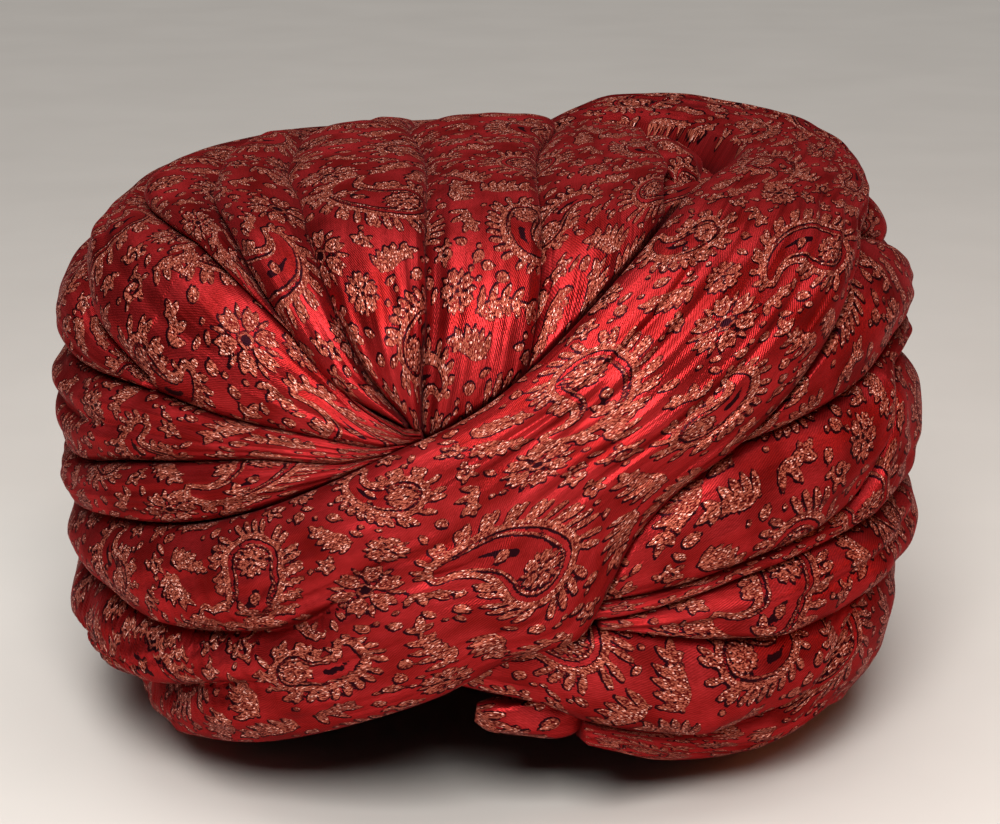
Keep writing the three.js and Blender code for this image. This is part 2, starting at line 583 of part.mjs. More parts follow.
function rollSolid(rows) {
  const outwards = rows.map(({ dir }) => direction(...dir));
  const centres = rows.map(({ lift }, i) => hullPoint(outwards[i], FOLD_DEPTH * lift));
  const halves = rows.map(({ half }) => FOLD_DEPTH * half);
  const thicknesses = halves.map((half) => half * ROLL_FLATNESS);
  return ringsSolid(rollRings(centres, outwards, halves, thicknesses, ROLL_AROUND));
}

// Triangles with the ends of every edge shorter than WELD made one vertex, without those that collapse.
function welded(position, triangles) {
  const same = Array.from({ length: position.length / 3 }, (_, i) => i);
  const root = (i) => (same[i] === i ? i : (same[i] = root(same[i])));
  const point = (i) => new THREE.Vector3().fromArray(position, 3 * i);
  for (let i = 0; i < triangles.length; i++) {
    const next = i % 3 === 2 ? i - 2 : i + 1;
    const [a, b] = [root(triangles[i]), root(triangles[next])];
    if (a !== b && point(a).distanceTo(point(b)) < WELD) same[b] = a;
  }
  const kept = [];
  for (let i = 0; i < triangles.length; i += 3) {
    const [a, b, c] = [0, 1, 2].map((k) => root(triangles[i + k]));
    if (a !== b && b !== c && c !== a) kept.push(a, b, c);
  }
  return kept;
}

// Turns the longest edge of each needle, a triangle lower than NEEDLE, so that it and its neighbour across
// that edge both become sound triangles.
function withoutNeedles(position, triangles) {
  const point = (i) => new THREE.Vector3().fromArray(position, 3 * i);
  const length = (i, j) => point(i).distanceTo(point(j));
  const height = (a, b, c) => (2 * new THREE.Triangle(point(a), point(b), point(c)).getArea()) / length(a, b);
  const faces = [];
  for (let i = 0; i < triangles.length; i += 3) faces.push(triangles.slice(i, i + 3));
  // A turned face can be a needle in its turn, so the faces are gone through more than once.
  for (let n = 0; n < 4 * faces.length; n++) {
    const i = n % faces.length;
    const turns = [0, 1, 2].map((k) => [faces[i][k], faces[i][(k + 1) % 3], faces[i][(k + 2) % 3]]);
    const [a, b, c] = turns.sort((p, q) => length(q[0], q[1]) - length(p[0], p[1]))[0];
    if (height(a, b, c) > NEEDLE) continue;
    const sharing = faces.map((face, k) => k).filter((k) => faces[k].includes(a) && faces[k].includes(b));
    // Only an edge that joins two faces can be turned.
    if (sharing.length !== 2) continue;
    const j = sharing.find((k) => k !== i);
    const d = faces[j].find((corner) => corner !== a && corner !== b);
    faces[i] = [a, d, c];
    faces[j] = [d, b, c];
  }
  return faces.flat();
}

// A mesh of a solid's largest piece, as a cut can leave a sliver on the far side of what it made way for.
function meshOf(name, solid, material) {
  if (solid.isEmpty()) throw new Error(name + " has nothing left after the cuts");
  const piece = solid.decompose().sort((a, b) => b.volume() - a.volume())[0];
  const { vertProperties, triVerts } = piece.getMesh();
  const geometry = new THREE.BufferGeometry();
  geometry.setAttribute("position", new THREE.BufferAttribute(vertProperties, 3));
  geometry.setIndex(withoutNeedles(vertProperties, welded(vertProperties, triVerts)));
  const mesh = new THREE.Mesh(mergeVertices(geometry), material);
  mesh.name = name;
  return mesh;
}

// The folds in the order that they lie over each other, each as a solid that can be grown.
const FOLDS = [
  { name: "cross_band", make: bandSolid },
  ...TURNS.map((turn) => ({ name: turn.name, make: (grown) => turnSolid(turn, grown) })),
  ...PLEATS.map((pleat, i) => ({ name: `crown_pleat_${i + 1}`, make: (grown) => pleatSolid(pleat, grown) })),
  ...Object.entries(ROLLS).map(([name, rows]) => ({ name, make: () => rollSolid(rows) })),
];

const turban = new THREE.Group();
turban.add(meshOf("inner_turns", innerTurnsSolid(), DEEP_CRIMSON));
// Each fold makes way for the inner turns, the head, the table and every fold over it.
const rooms = [coreSolid(SEAT_GAP), hollowSolid(), underTable()];
for (const { name, make } of FOLDS) {
  turban.add(meshOf(name, rooms.reduce((left, room) => left.subtract(room), make(0)), CRIMSON));
  rooms.push(make(FOLD_GAP));
}

// The origin is under the middle of the outer box.
const middle = new THREE.Box3().setFromObject(turban).getCenter(new THREE.Vector3());
turban.position.set(-middle.x, -middle.y, 0);

export default turban;
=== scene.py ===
"""A tied turban: one long brocade cloth wound into padded folds, standing on a pale table in soft light.

Every fold is laid out by directions from the middle of the turban's belly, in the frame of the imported
model: azimuth 0 is the forehead, +90 the right and -90 the left as seen from the front, and elevation is
above the belly's level. The tables are in degrees and in shares of the folds' depth. Lengths are in
millimetres until a mesh is made, and in metres after that.
"""

import logging
import math
from collections.abc import Sequence
from dataclasses import dataclass
from enum import Enum

import bpy
import numpy as np
from mathutils import Matrix, Vector

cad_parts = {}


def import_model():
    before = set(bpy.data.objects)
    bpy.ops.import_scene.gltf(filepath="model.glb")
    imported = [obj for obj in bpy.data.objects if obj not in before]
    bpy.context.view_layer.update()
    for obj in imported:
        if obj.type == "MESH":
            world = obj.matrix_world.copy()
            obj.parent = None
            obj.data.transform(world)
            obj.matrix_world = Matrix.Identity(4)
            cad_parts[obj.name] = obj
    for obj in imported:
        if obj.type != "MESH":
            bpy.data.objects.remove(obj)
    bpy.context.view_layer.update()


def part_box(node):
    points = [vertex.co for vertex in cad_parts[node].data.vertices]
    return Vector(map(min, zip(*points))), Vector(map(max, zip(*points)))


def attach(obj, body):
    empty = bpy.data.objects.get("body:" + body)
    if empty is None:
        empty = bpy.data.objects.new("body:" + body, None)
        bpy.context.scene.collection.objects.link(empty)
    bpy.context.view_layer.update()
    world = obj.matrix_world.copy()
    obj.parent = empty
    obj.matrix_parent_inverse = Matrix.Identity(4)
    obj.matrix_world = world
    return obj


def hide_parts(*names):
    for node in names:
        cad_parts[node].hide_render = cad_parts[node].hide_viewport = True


log = logging.getLogger("turban")

MM = 0.001
# The cloth's UV map holds one unit for each hundred millimetres of cloth.
UV_UNIT = 100.0

# One number or a grid of them, a row of numbers, and a table of (place, value) or (azimuth, elevation).
Numbers = np.ndarray | float
Series = np.ndarray | Sequence[float]
Pairs = list[tuple[float, float]]

# The hull that the folds' crests follow and the inner turns that they lie on, in millimetres.
HALF_WIDTH = 135.0
HALF_DEPTH = 140.0
BELLY_HEIGHT = 85.0
CROWN_REACH = 92.0
SKIRT_DROP = 98.0
CORE_DROP = 100.0
FOREHEAD_TUCK = 8.0
FOLD_DEPTH = 18.0
CREASE_DEPTH = 11.0
HEAD_HALF_WIDTH = 80.0
HEAD_HALF_DEPTH = 94.0
HEAD_DOME = 45.0

# Exponents of the superellipses: 2 is round and larger is boxier.
PLAN_POWER = 2.2
CROWN_POWER = 4.0
SKIRT_POWER = 3.5
HOLLOW_POWER = 2.6

# The spacing of a fold's points in front, where its pattern is seen close, and elsewhere.
FINE_STEP = 0.82
COARSE_STEP = 2.2


def direction(azimuth: Numbers, elevation: Numbers) -> np.ndarray:
    """Turns angles into unit directions.

    Args:
        azimuth: Degrees from the forehead, to the right.
        elevation: Degrees above the belly's level.

    Returns:
        The directions, with x, y and z last.
    """
    azimuth, elevation = np.broadcast_arrays(np.radians(azimuth), np.radians(elevation))
    flat = np.cos(elevation)
    return np.stack([np.sin(azimuth) * flat, -np.cos(azimuth) * flat, np.sin(elevation)], axis=-1)


def normalised(vectors: np.ndarray) -> np.ndarray:
    """The vectors at length one."""
    return vectors / np.linalg.norm(vectors, axis=-1, keepdims=True)


def superellipsoid(dirs: np.ndarray, half_width: float, half_depth: float, half_height: float,
                   power: float, lift: Numbers) -> np.ndarray:
    """Points of a superellipsoid in some directions, lifted outwards.

    Args:
        dirs: Unit directions, with x, y and z last.
        half_width, half_depth, half_height: Half sizes in millimetres.
        power: The exponent between plan and height.
        lift: Millimetres outwards, one for each direction or one for all.

    Returns:
        The points, in millimetres.
    """
    plan = (np.abs(dirs[..., 0]) ** PLAN_POWER + np.abs(dirs[..., 1]) ** PLAN_POWER) ** (1 / PLAN_POWER)
    level = np.maximum(np.hypot(dirs[..., 0], dirs[..., 1]), 0.001)
    forehead = np.where(dirs[..., 2] < 0, (1 - dirs[..., 1] / level) / 2, 0)
    deep = np.abs(dirs[..., 2]) * half_height / (half_height - FOREHEAD_TUCK * forehead)
    reach = (plan**power + deep**power) ** (-1 / power)
    points = dirs * np.array([half_width, half_depth, half_height]) * reach[..., None]
    points = points * (1 + lift / np.linalg.norm(points, axis=-1))[..., None]
    return points + np.array([0.0, 0.0, BELLY_HEIGHT])


def hull_point(dirs: np.ndarray, lift: Numbers) -> np.ndarray:
    """Gives points on the hull that the folds' crests follow.

    Args:
        dirs: Unit directions.
        lift: Millimetres outwards.

    Returns:
        The points, in millimetres.
    """
    up = superellipsoid(dirs, HALF_WIDTH, HALF_DEPTH, CROWN_REACH, CROWN_POWER, lift)
    down = superellipsoid(dirs, HALF_WIDTH, HALF_DEPTH, SKIRT_DROP, SKIRT_POWER, lift)
    return np.where(dirs[..., 2:] > 0, up, down)


def core_point(dirs: np.ndarray, lift: Numbers) -> np.ndarray:
    """Gives points on the outside of the inner turns, which every fold lies on.

    Args:
        dirs: Unit directions.
        lift: Millimetres outwards.

    Returns:
        The points, in millimetres.
    """
    half_width, half_depth = HALF_WIDTH - FOLD_DEPTH, HALF_DEPTH - FOLD_DEPTH
    up = superellipsoid(dirs, half_width, half_depth, CROWN_REACH - FOLD_DEPTH, CROWN_POWER, lift)
    down = superellipsoid(dirs, half_width, half_depth, CORE_DROP, SKIRT_POWER, lift)
    return np.where(dirs[..., 2:] > 0, up, down)


def smooth(xs: Series, ys: Series, x: Numbers) -> np.ndarray:
    """Values at x of smooth curves through points that rise in x, without overshoot between them.

    Args:
        xs: The points' places, rising.
        ys: The points' values, one row each; a row may hold several values.
        x: Where to read the curves.

    Returns:
        One row of values for each x.
    """
    xs, ys, x = np.asarray(xs, float), np.asarray(ys, float), np.asarray(x, float)
    flat = ys.reshape(len(xs), -1)
    widths = np.diff(xs)[:, None]
    slopes = np.diff(flat, axis=0) / widths
    before, after = slopes[:-1], slopes[1:]
    both = before * after
    with np.errstate(divide="ignore", invalid="ignore"):
        inner = np.where(both <= 0, 0.0, 2 * both / (before + after))
    tangents = np.concatenate([slopes[:1], inner, slopes[-1:]])
    place = np.clip(x.reshape(-1), xs[0], xs[-1])
    i = np.clip(np.searchsorted(xs, place, side="right") - 1, 0, len(xs) - 2)
    t = ((place - xs[i])[:, None]) / widths[i]
    value = (
        flat[i] * (1 + 2 * t) * (1 - t) ** 2
        + widths[i] * tangents[i] * t * (1 - t) ** 2
        + flat[i + 1] * t * t * (3 - 2 * t)
        + widths[i] * tangents[i + 1] * t * t * (t - 1)
    )
    return value.reshape(x.shape + ys.shape[1:])


def smoothstep(low: float, high: float, x: Numbers) -> np.ndarray:
    """0 up to low, 1 from high, and an S between them."""
    t = np.clip((x - low) / (high - low), 0, 1)
    return t * t * (3 - 2 * t)


def lerp(a: Numbers, b: Numbers, t: Numbers) -> Numbers:
    """The value a share t of the way from a to b."""
    return a + (b - a) * t


def directions_along(pairs: Pairs, place: Numbers) -> np.ndarray:
    """Directions at places along a table of (azimuth, elevation) pairs, by the rows' own numbers."""
    dirs = np.array([direction(*pair) for pair in pairs])
    return normalised(smooth(np.arange(len(pairs)), dirs, place))


def swell(v: Numbers, lean: float, fullness: float) -> np.ndarray:
    """The swell of a roll of cloth across its width: 0 at both edges and 1 at its crest."""
    across = np.clip(v, 0, 1) ** lean
    return np.maximum(1 - np.abs(2 * across - 1) ** fullness, 0) ** 0.5


def column(rows: Sequence[dict], key: str, name: str, x: Numbers) -> np.ndarray:
    """Reads one named column of a table at x, where the column named by key holds the rising values."""
    rows = [row for row in rows if name in row]
    return smooth([row[key] for row in rows], [row[name] for row in rows], x)


# The creases between the turns that go round the head, as (turn, elevation). A turn is minus an azimuth: it
# runs from the forehead (0) by the left side (90), the back (180) and the right side (270) on to 360.
CREASES = {
    "hem": [
        (180, -57), (270, -57), (285, -55), (300, -51.5), (313, -46), (325, -42), (336, -38), (343, -34),
        (349, -31),
    ],
    "low_right": [
        (180, -19), (270, -18), (303, -18), (307, -19.5), (311, -23.5), (316, -30), (323, -33),
        (331, -34.5), (338, -33), (347, -30), (353, -26.5), (360, -24), (366, -22),
    ],
    "middle_right": [
        (180, -19), (270, -18), (300, -17), (318, -18), (332, -16.5), (344, -13.5), (352, -12.5), (366, -11),
    ],
    "band_top": [
        (10, 16.8), (14, 15.6), (18, 13), (23, 9.5), (30, 5), (42, 0), (54, -3), (69, -6.5), (92, -8.5),
        (180, -8), (270, -4.5), (296, -3.5), (313, -4.5), (327, -6.5), (337, -9.5), (345, -11.5), (352, -12),
    ],
    "side_middle": [
        (10, 18.2), (14, 17), (18, 15.6), (27, 15), (36, 13), (50, 9), (70, 2.5), (92, 1.5), (180, 5),
        (250, 13), (275, 19), (290, 22), (297, 21), (301, 13.5), (305, 5.5), (310, 0.5), (317, -2),
        (326, -4), (340, -7.5), (352, -9),
    ],
    "side_top": [
        (10, 19.6), (14, 18.8), (21, 19.8), (34, 21), (46, 22.5), (66, 21.5), (92, 21.5), (180, 23),
        (270, 26), (294, 25.5), (307, 21.5), (323, 18), (331, 16), (338, 11.5), (346, 4), (352, -2),
    ],
    "shoulder_middle": [
        (44, 23.4), (50, 26), (59, 29.5), (68, 34.5), (90, 38), (180, 39), (250, 37), (272, 35.5),
        (284, 40.5), (295, 43.5), (310, 40), (322, 30), (333, 21), (338, 14),
    ],
    "crown_edge": [
        (10, 21), (16, 25.5), (21, 31), (29, 37), (42, 43), (52, 45.5), (68, 46.5), (95, 46), (125, 52),
        (180, 55), (225, 53), (260, 49), (285, 49), (298, 50),
    ],
    "crown_roll_top": [
        (10, 22.2), (19, 27.5), (30, 38.5), (45, 47.8), (65, 53), (90, 56), (112, 56), (128, 53.6),
    ],
}
# How far the turns sink where they gather at the forehead, as shares of the folds' depth.
GATHERED = [(10, 0.5), (24, 0.32), (42, 0.06), (60, 0), (320, 0), (338, 0.12), (352, 0.3)]

# The edges between the crown's pleats, from the gather at the forehead, over the top, to the back.
CROWN_LINES = {
    "left": [
        (-10, 22.4), (-19, 27.7), (-30, 38.7), (-45, 48), (-65, 53.2), (-90, 56.2), (-112, 56), (-128, 52),
    ],
    "first": [(-9.5, 23), (-15, 30), (-21, 40), (-29, 49), (-42, 57), (-75, 63.5), (-115, 62), (-143, 52)],
    "second": [(-8, 22), (-8, 31), (-8, 41), (-10, 51), (-17, 65), (-80, 81), (-150, 68), (-166, 53)],
    "third": [(0, 20), (5, 31), (7, 41), (9, 51), (14, 65), (75, 83), (155, 68), (170, 53)],
    "fourth": [(20, 36), (27, 47), (34, 54), (46, 61), (66, 65.5), (100, 68), (130, 63), (146, 52)],
    "right": [(44, 38), (54, 44), (64, 49), (76, 52), (90, 53), (104, 53), (116, 52.5), (128, 51)],
}
# How far the pleats sink along their length, as shares of the folds' depth.
PLEAT_SINK = [(0, 0.5), (0.1, 0.38), (0.3, 0.1), (0.45, 0), (0.85, 0), (1, 0.2)]

# The crossing band, by sections from the crown's back, round the hollow at the top right, over the forehead
# to the lower left, and round the left side to the back. Crest, rim (upper edge) and hem (lower edge) are
# shares of the folds' depth. Low and high are the places of the two grooves that part it into three rolls.
BAND_ROWS = [
    dict(upper=(168, 62), lower=(160, 54), crest=-0.3, rim=-0.5, hem=-0.5, low=0.3, high=0.6,
         low_groove=0, high_groove=0),
    dict(upper=(146, 67), lower=(146, 53), crest=0.45, rim=-0.05),
    dict(upper=(122, 66), lower=(130, 50), crest=0.62, rim=0.05),
    dict(upper=(100, 62.5), lower=(112, 46), crest=0.66, rim=0.1),
    dict(upper=(80, 59.5), lower=(92, 44), crest=0.55, rim=0.1, hem=-0.3),
    dict(upper=(58, 58.5), lower=(76, 43), crest=0.48),
    dict(upper=(42, 56), lower=(64, 41.5), crest=0.46),
    dict(upper=(30, 51), lower=(54, 37), crest=0.55, rim=0.1),
    dict(upper=(20, 44.5), lower=(46, 31)),
    dict(upper=(12, 37.5), lower=(38, 24), crest=0.5),
    dict(upper=(5, 30.5), lower=(30, 17), rim=-0.05, hem=-0.25),
    dict(upper=(-1, 25), lower=(22, 10.5), crest=0.42),
    dict(upper=(-6, 21.5), lower=(17, 3), rim=-0.2),
    dict(upper=(-10, 19), lower=(14, -5.5), crest=0.4, rim=-0.25, hem=-0.2),
    dict(upper=(-14, 16), lower=(11, -12.5), crest=0.4, high_groove=0),
    dict(upper=(-18, 13), lower=(3, -16), rim=-0.3, high=0.6),
    dict(upper=(-23, 9.5), lower=(-5, -22), crest=0.33, high=0.55, high_groove=0.25),
    dict(upper=(-30, 5), lower=(-16, -28), crest=0.24, low=0.3, high=0.48, low_groove=0, high_groove=0.7),
    dict(upper=(-38, 1), lower=(-28, -34), rim=-0.5, low=0.32, high=0.51, low_groove=0.5, high_groove=0.95),
    dict(upper=(-48, -2), lower=(-42, -40.5), crest=0.12, low=0.3, high=0.59, low_groove=0.9, high_groove=1),
    dict(upper=(-60, -4.5), lower=(-57, -48), crest=0.05, rim=-0.6, low=0.33, high=0.69, low_groove=1),
    dict(upper=(-75, -7), lower=(-74, -54), low=0.36, high=0.74),
    dict(upper=(-92, -8.5), lower=(-92, -57), high=0.76),
    dict(upper=(-112, -8.5), lower=(-112, -57)),
    dict(upper=(-132, -8.5), lower=(-134, -57), crest=0.05),
    dict(upper=(-150, -8.5), lower=(-156, -57), crest=0.1, low=0.36, high=0.76, low_groove=0.7,
         high_groove=0.8),
    dict(upper=(-161, -8), lower=(-174, -57), crest=-0.3, rim=-0.6, hem=-0.4, low_groove=0.4,
         high_groove=0.4),
]
BAND_ROWS = tuple(dict(row, at=at) for at, row in enumerate(BAND_ROWS))

# Small soft rolls: directions, lifts of the middle and half widths as shares of the folds' depth.
ROLL_ROWS = {
    "hollow_tuck": [
        dict(dir=(62, 62), lift=-0.5, half=0.1), dict(dir=(72, 63.5), lift=-0.42, half=0.34),
        dict(dir=(88, 65), lift=-0.36, half=0.42), dict(dir=(106, 67), lift=-0.34, half=0.38),
        dict(dir=(122, 69), lift=-0.36, half=0.12),
    ],
    "tail_end": [
        dict(dir=(14.5, -33), lift=-0.8, half=0.12), dict(dir=(12, -32.3), lift=-0.8, half=0.34),
        dict(dir=(7, -31.7), lift=-0.8, half=0.42), dict(dir=(1.5, -31.2), lift=-0.8, half=0.36),
        dict(dir=(-1.5, -30.8), lift=-0.82, half=0.18),
    ],
}

# The lower edge of the inner turns, over the forehead arch and down to the table elsewhere.
INNER_EDGE = [
    (-180, -53), (-60, -53), (-46, -44), (-30, -34), (-14, -24.5), (4, -18), (18, -24.5), (33, -33),
    (48, -43), (62, -53), (180, -53),
]


def pairs_column(pairs: Pairs, x: Numbers) -> np.ndarray:
    """Reads a table of (place, value) pairs at x."""
    return smooth([pair[0] for pair in pairs], [pair[1] for pair in pairs], x)


def ripples(seed: int, u: Numbers, v: Numbers, waves: int, low: float, high: float) -> np.ndarray:
    """Adds up seeded soft waves, to about -1 to 1.

    Args:
        seed: The waves' seed.
        u, v: Places in millimetres.
        waves: How many waves are added.
        low, high: The shortest and longest wavelength in millimetres.

    Returns:
        The sum at each place.
    """
    rng = np.random.default_rng(seed)
    total = np.zeros(np.broadcast(u, v).shape)
    for _ in range(waves):
        length = rng.uniform(low, high)
        angle = rng.uniform(0, math.pi)
        phase = rng.uniform(0, 2 * math.pi)
        total += np.sin(2 * math.pi * (u * math.cos(angle) + v * math.sin(angle)) / length + phase)
    # A sum of waves rarely passes 1.4 times the square root of their number.
    return total / math.sqrt(waves) / 1.4


@dataclass(frozen=True)
class LongFold:
    """One deep fold of a place of its own along a turn.

    Its centre and reach are shares of the cloth's length, its place and slope shares of the cloth's width,
    and its depth and half width are in millimetres.
    """

    centre: float
    reach: float
    place: float
    slope: float
    depth: float
    half_width: float


@dataclass(frozen=True)
class Creases:
    """Long soft creases that run along a fold, seeded, and the deep folds among them."""

    seed: int
    count: int = 4
    depth: float = 1.1
    width: float = 4.0
    folds: tuple[LongFold, ...] = ()

    def lift(self, along: np.ndarray, across: np.ndarray, length: float, width: float) -> np.ndarray:
        """Gives the creases' lift in millimetres.

        Args:
            along, across: Millimetres along the fold and across its flat width.
            length, width: The fold's flat length and width in millimetres.

        Returns:
            The lift at each place, mostly below 0.
        """
        rng = np.random.default_rng(self.seed)
        total = np.zeros(np.broadcast(along, across).shape)
        for _ in range(self.count):
            centre = rng.uniform(0, length)
            reach = rng.uniform(0.18, 0.4) * length
            place = rng.uniform(0.18, 0.82) * width
            drift = rng.uniform(-0.12, 0.12) * width
            depth = self.depth * rng.uniform(0.5, 1.0)
            wide = self.width * rng.uniform(0.6, 1.3)
            sway = rng.uniform(0, 2 * math.pi)
            fade = np.clip(1 - ((along - centre) / reach) ** 2, 0, 1) ** 2
            line = place + drift * np.sin(2 * math.pi * along / length * 1.3 + sway)
            away = (across - line) / wide
            total += depth * fade * (0.45 * np.exp(-((away - 1.3) ** 2)) - np.exp(-(away**2)))
        for fold in self.folds:
            beyond = along / length - fold.centre
            fade = np.clip(1 - (beyond / fold.reach) ** 2, 0, 1) ** 0.8
            away = (across - (fold.place + fold.slope * beyond) * width) / fold.half_width
            total += fold.depth * fade * (0.3 * np.exp(-((away - 1.5) ** 2)) - np.exp(-np.abs(away) ** 1.4))
        return total


@dataclass
class Band:
    """The broad band that crosses the front over every other fold and parts into three rolls on the left.

    A groove's reach is a share of the band's width. Its depth and the seat, which is the band's gap to the
    inner turns, are in millimetres.
    """

    name: str = "cross_band"
    rows: tuple[dict, ...] = BAND_ROWS
    seat: float = 1.3
    fullness: float = 2.6
    groove_reach: float = 0.18
    groove_depth: float = 14.0

    def places(self, s: np.ndarray) -> np.ndarray:
        """The sections' numbers at shares s of the band's length."""
        return s * (len(self.rows) - 1)

    def read(self, name: str, s: np.ndarray) -> np.ndarray:
        """One column of the sections' table at shares s of the band's length."""
        return column(self.rows, "at", name, self.places(s))

    def edges(self, s: np.ndarray) -> tuple[np.ndarray, np.ndarray]:
        """Finds the band's edges.

        Args:
            s: Shares of the band's length.

        Returns:
            The directions of the lower and of the upper edge.
        """
        at = self.places(s)
        lower = directions_along([row["lower"] for row in self.rows], at)
        upper = directions_along([row["upper"] for row in self.rows], at)
        return lower, upper

    def dirs(self, s: np.ndarray, v: np.ndarray) -> np.ndarray:
        """Directions at shares s of the length and v of the width."""
        lower, upper = self.edges(s)
        return normalised(lerp(lower, upper, v[..., None]))

    def lift(self, s: np.ndarray, v: np.ndarray) -> np.ndarray:
        """Gives the surface's lift over the hull.

        Args:
            s: Shares of the length.
            v: Shares of the width.

        Returns:
            The lift in millimetres.
        """
        edge = lerp(self.read("hem", s), self.read("rim", s), v)
        lift = FOLD_DEPTH * lerp(edge, self.read("crest", s), swell(v, 1, self.fullness))
        for name in ("low", "high"):
            away = np.minimum(np.abs(v - self.read(name, s)) / self.groove_reach, 1)
            lift = lift - self.groove_depth * self.read(name + "_groove", s) * (1 - np.sqrt(away)) ** 1.5
        return lift


@dataclass
class Turn:
    """A padded turn round the head, between two creases, from one turn's degrees to another's.

    Hem is how deep its lower edge is tucked, as a share of the creases' depth, and seat is its gap to the
    inner turns in millimetres. A turn narrower than narrow, in degrees, swells less, down to least_swell.
    """

    name: str
    low: str
    high: str
    start: float
    end: float
    hem: float = 1.0
    seat: float = 0.25
    lean: float = 0.85
    fullness: float = 2.3
    narrow: float = 12.0
    least_swell: float = 0.45

    def rise(self, crease: str, turn: np.ndarray) -> np.ndarray:
        """Finds a crease. The shoulder's is the side's top until the lower turn comes between.

        Args:
            crease: The crease's name.
            turn: Degrees round the head.

        Returns:
            The crease's elevation in degrees.
        """
        if crease != "shoulder":
            return pairs_column(CREASES[crease], turn)
        side, middle = CREASES["side_top"], CREASES["shoulder_middle"]
        return np.where(turn < middle[0][0], pairs_column(side, turn), pairs_column(middle, turn))

    def span(self, s: np.ndarray) -> tuple[np.ndarray, np.ndarray, np.ndarray]:
        """Finds both edges.

        Args:
            s: Shares of the length.

        Returns:
            The degrees round the head, and the elevations of the lower and of the upper edge.
        """
        turn = lerp(self.start, self.end, s)
        bottom = self.rise(self.low, turn)
        return turn, bottom, np.maximum(self.rise(self.high, turn), bottom + 0.6)

    def dirs(self, s: np.ndarray, v: np.ndarray) -> np.ndarray:
        """Directions at shares s of the length and v of the width."""
        turn, bottom, top = self.span(s)
        return direction(-turn, lerp(bottom, top, v))

    def lift(self, s: np.ndarray, v: np.ndarray) -> np.ndarray:
        """Gives the surface's lift over the hull.

        Args:
            s: Shares of the length.
            v: Shares of the width.

        Returns:
            The lift in millimetres.
        """
        turn, bottom, top = self.span(s)
        sink = pairs_column(GATHERED, turn) * FOLD_DEPTH
        swelling = lerp(self.least_swell, 1, np.minimum((top - bottom) / self.narrow, 1))
        edge = -CREASE_DEPTH * lerp(self.hem, 1, v)
        return lerp(edge, -sink, swell(v, self.lean, self.fullness) * swelling)


@dataclass
class Pleat:
    """A flat pleat over the crown, tucked low along its left edge, that lies over the next along its right.

    Tucked, over and crest are how deep its left edge, its right edge and its middle lie, as shares of the
    folds' depth. Seat is its gap to the inner turns in millimetres.
    """

    name: str
    left: str
    right: str
    tucked: float
    over: float
    crest: float
    lean: float
    fullness: float
    seat: float = 0.25

    def dirs(self, s: np.ndarray, v: np.ndarray) -> np.ndarray:
        """Finds directions between the pleat's edges.

        Args:
            s: Shares of the length.
            v: Shares of the width.

        Returns:
            The directions.
        """
        lines = CROWN_LINES[self.left], CROWN_LINES[self.right]
        left, right = (directions_along(line, s * (len(line) - 1)) for line in lines)
        return normalised(lerp(left, right, v[..., None]))

    def lift(self, s: np.ndarray, v: np.ndarray) -> np.ndarray:
        """Gives the surface's lift over the hull.

        Args:
            s: Shares of the length.
            v: Shares of the width.

        Returns:
            The lift in millimetres.
        """
        edge = lerp(self.tucked, self.over, v)
        sink = pairs_column(PLEAT_SINK, s)
        depth = lerp(edge, self.crest, swell(v, self.lean, self.fullness)) + sink * (1 - 0.4 * edge)
        return -FOLD_DEPTH * depth


# Every fold has a name and a seat, and tells its directions and its lift at shares of its length and width.
Fold = Band | Turn | Pleat

TURNS = [
    Turn("crown_roll", "crown_edge", "crown_roll_top", 8, 126),
    Turn("upper_shoulder_turn", "shoulder", "crown_edge", 8, 297),
    Turn("lower_shoulder_turn", "side_top", "shoulder_middle", 46, 337),
    Turn("upper_side_turn", "side_middle", "side_top", 8, 349),
    Turn("lower_side_turn", "band_top", "side_middle", 8, 347),
    Turn("middle_right_turn", "middle_right", "band_top", 154, 346),
    Turn("arch_right_turn", "low_right", "middle_right", 302, 364),
    Turn("lowest_right_turn", "hem", "low_right", 160, 347, hem=0.25),
]
PLEATS = [
    Pleat("crown_pleat_1", "left", "first", 0.55, 0.5, 0.02, 1.1, 2.4),
    Pleat("crown_pleat_2", "first", "second", 0.34, 0.26, 0, 1.5, 3.6),
    Pleat("crown_pleat_3", "second", "third", 0.3, 0.26, -0.03, 1.6, 4),
    Pleat("crown_pleat_4", "third", "fourth", 0.3, 0.22, 0, 1.4, 3.6),
    Pleat("crown_pleat_5", "fourth", "right", 0.5, 0.7, 0.45, 1, 2.6),
]


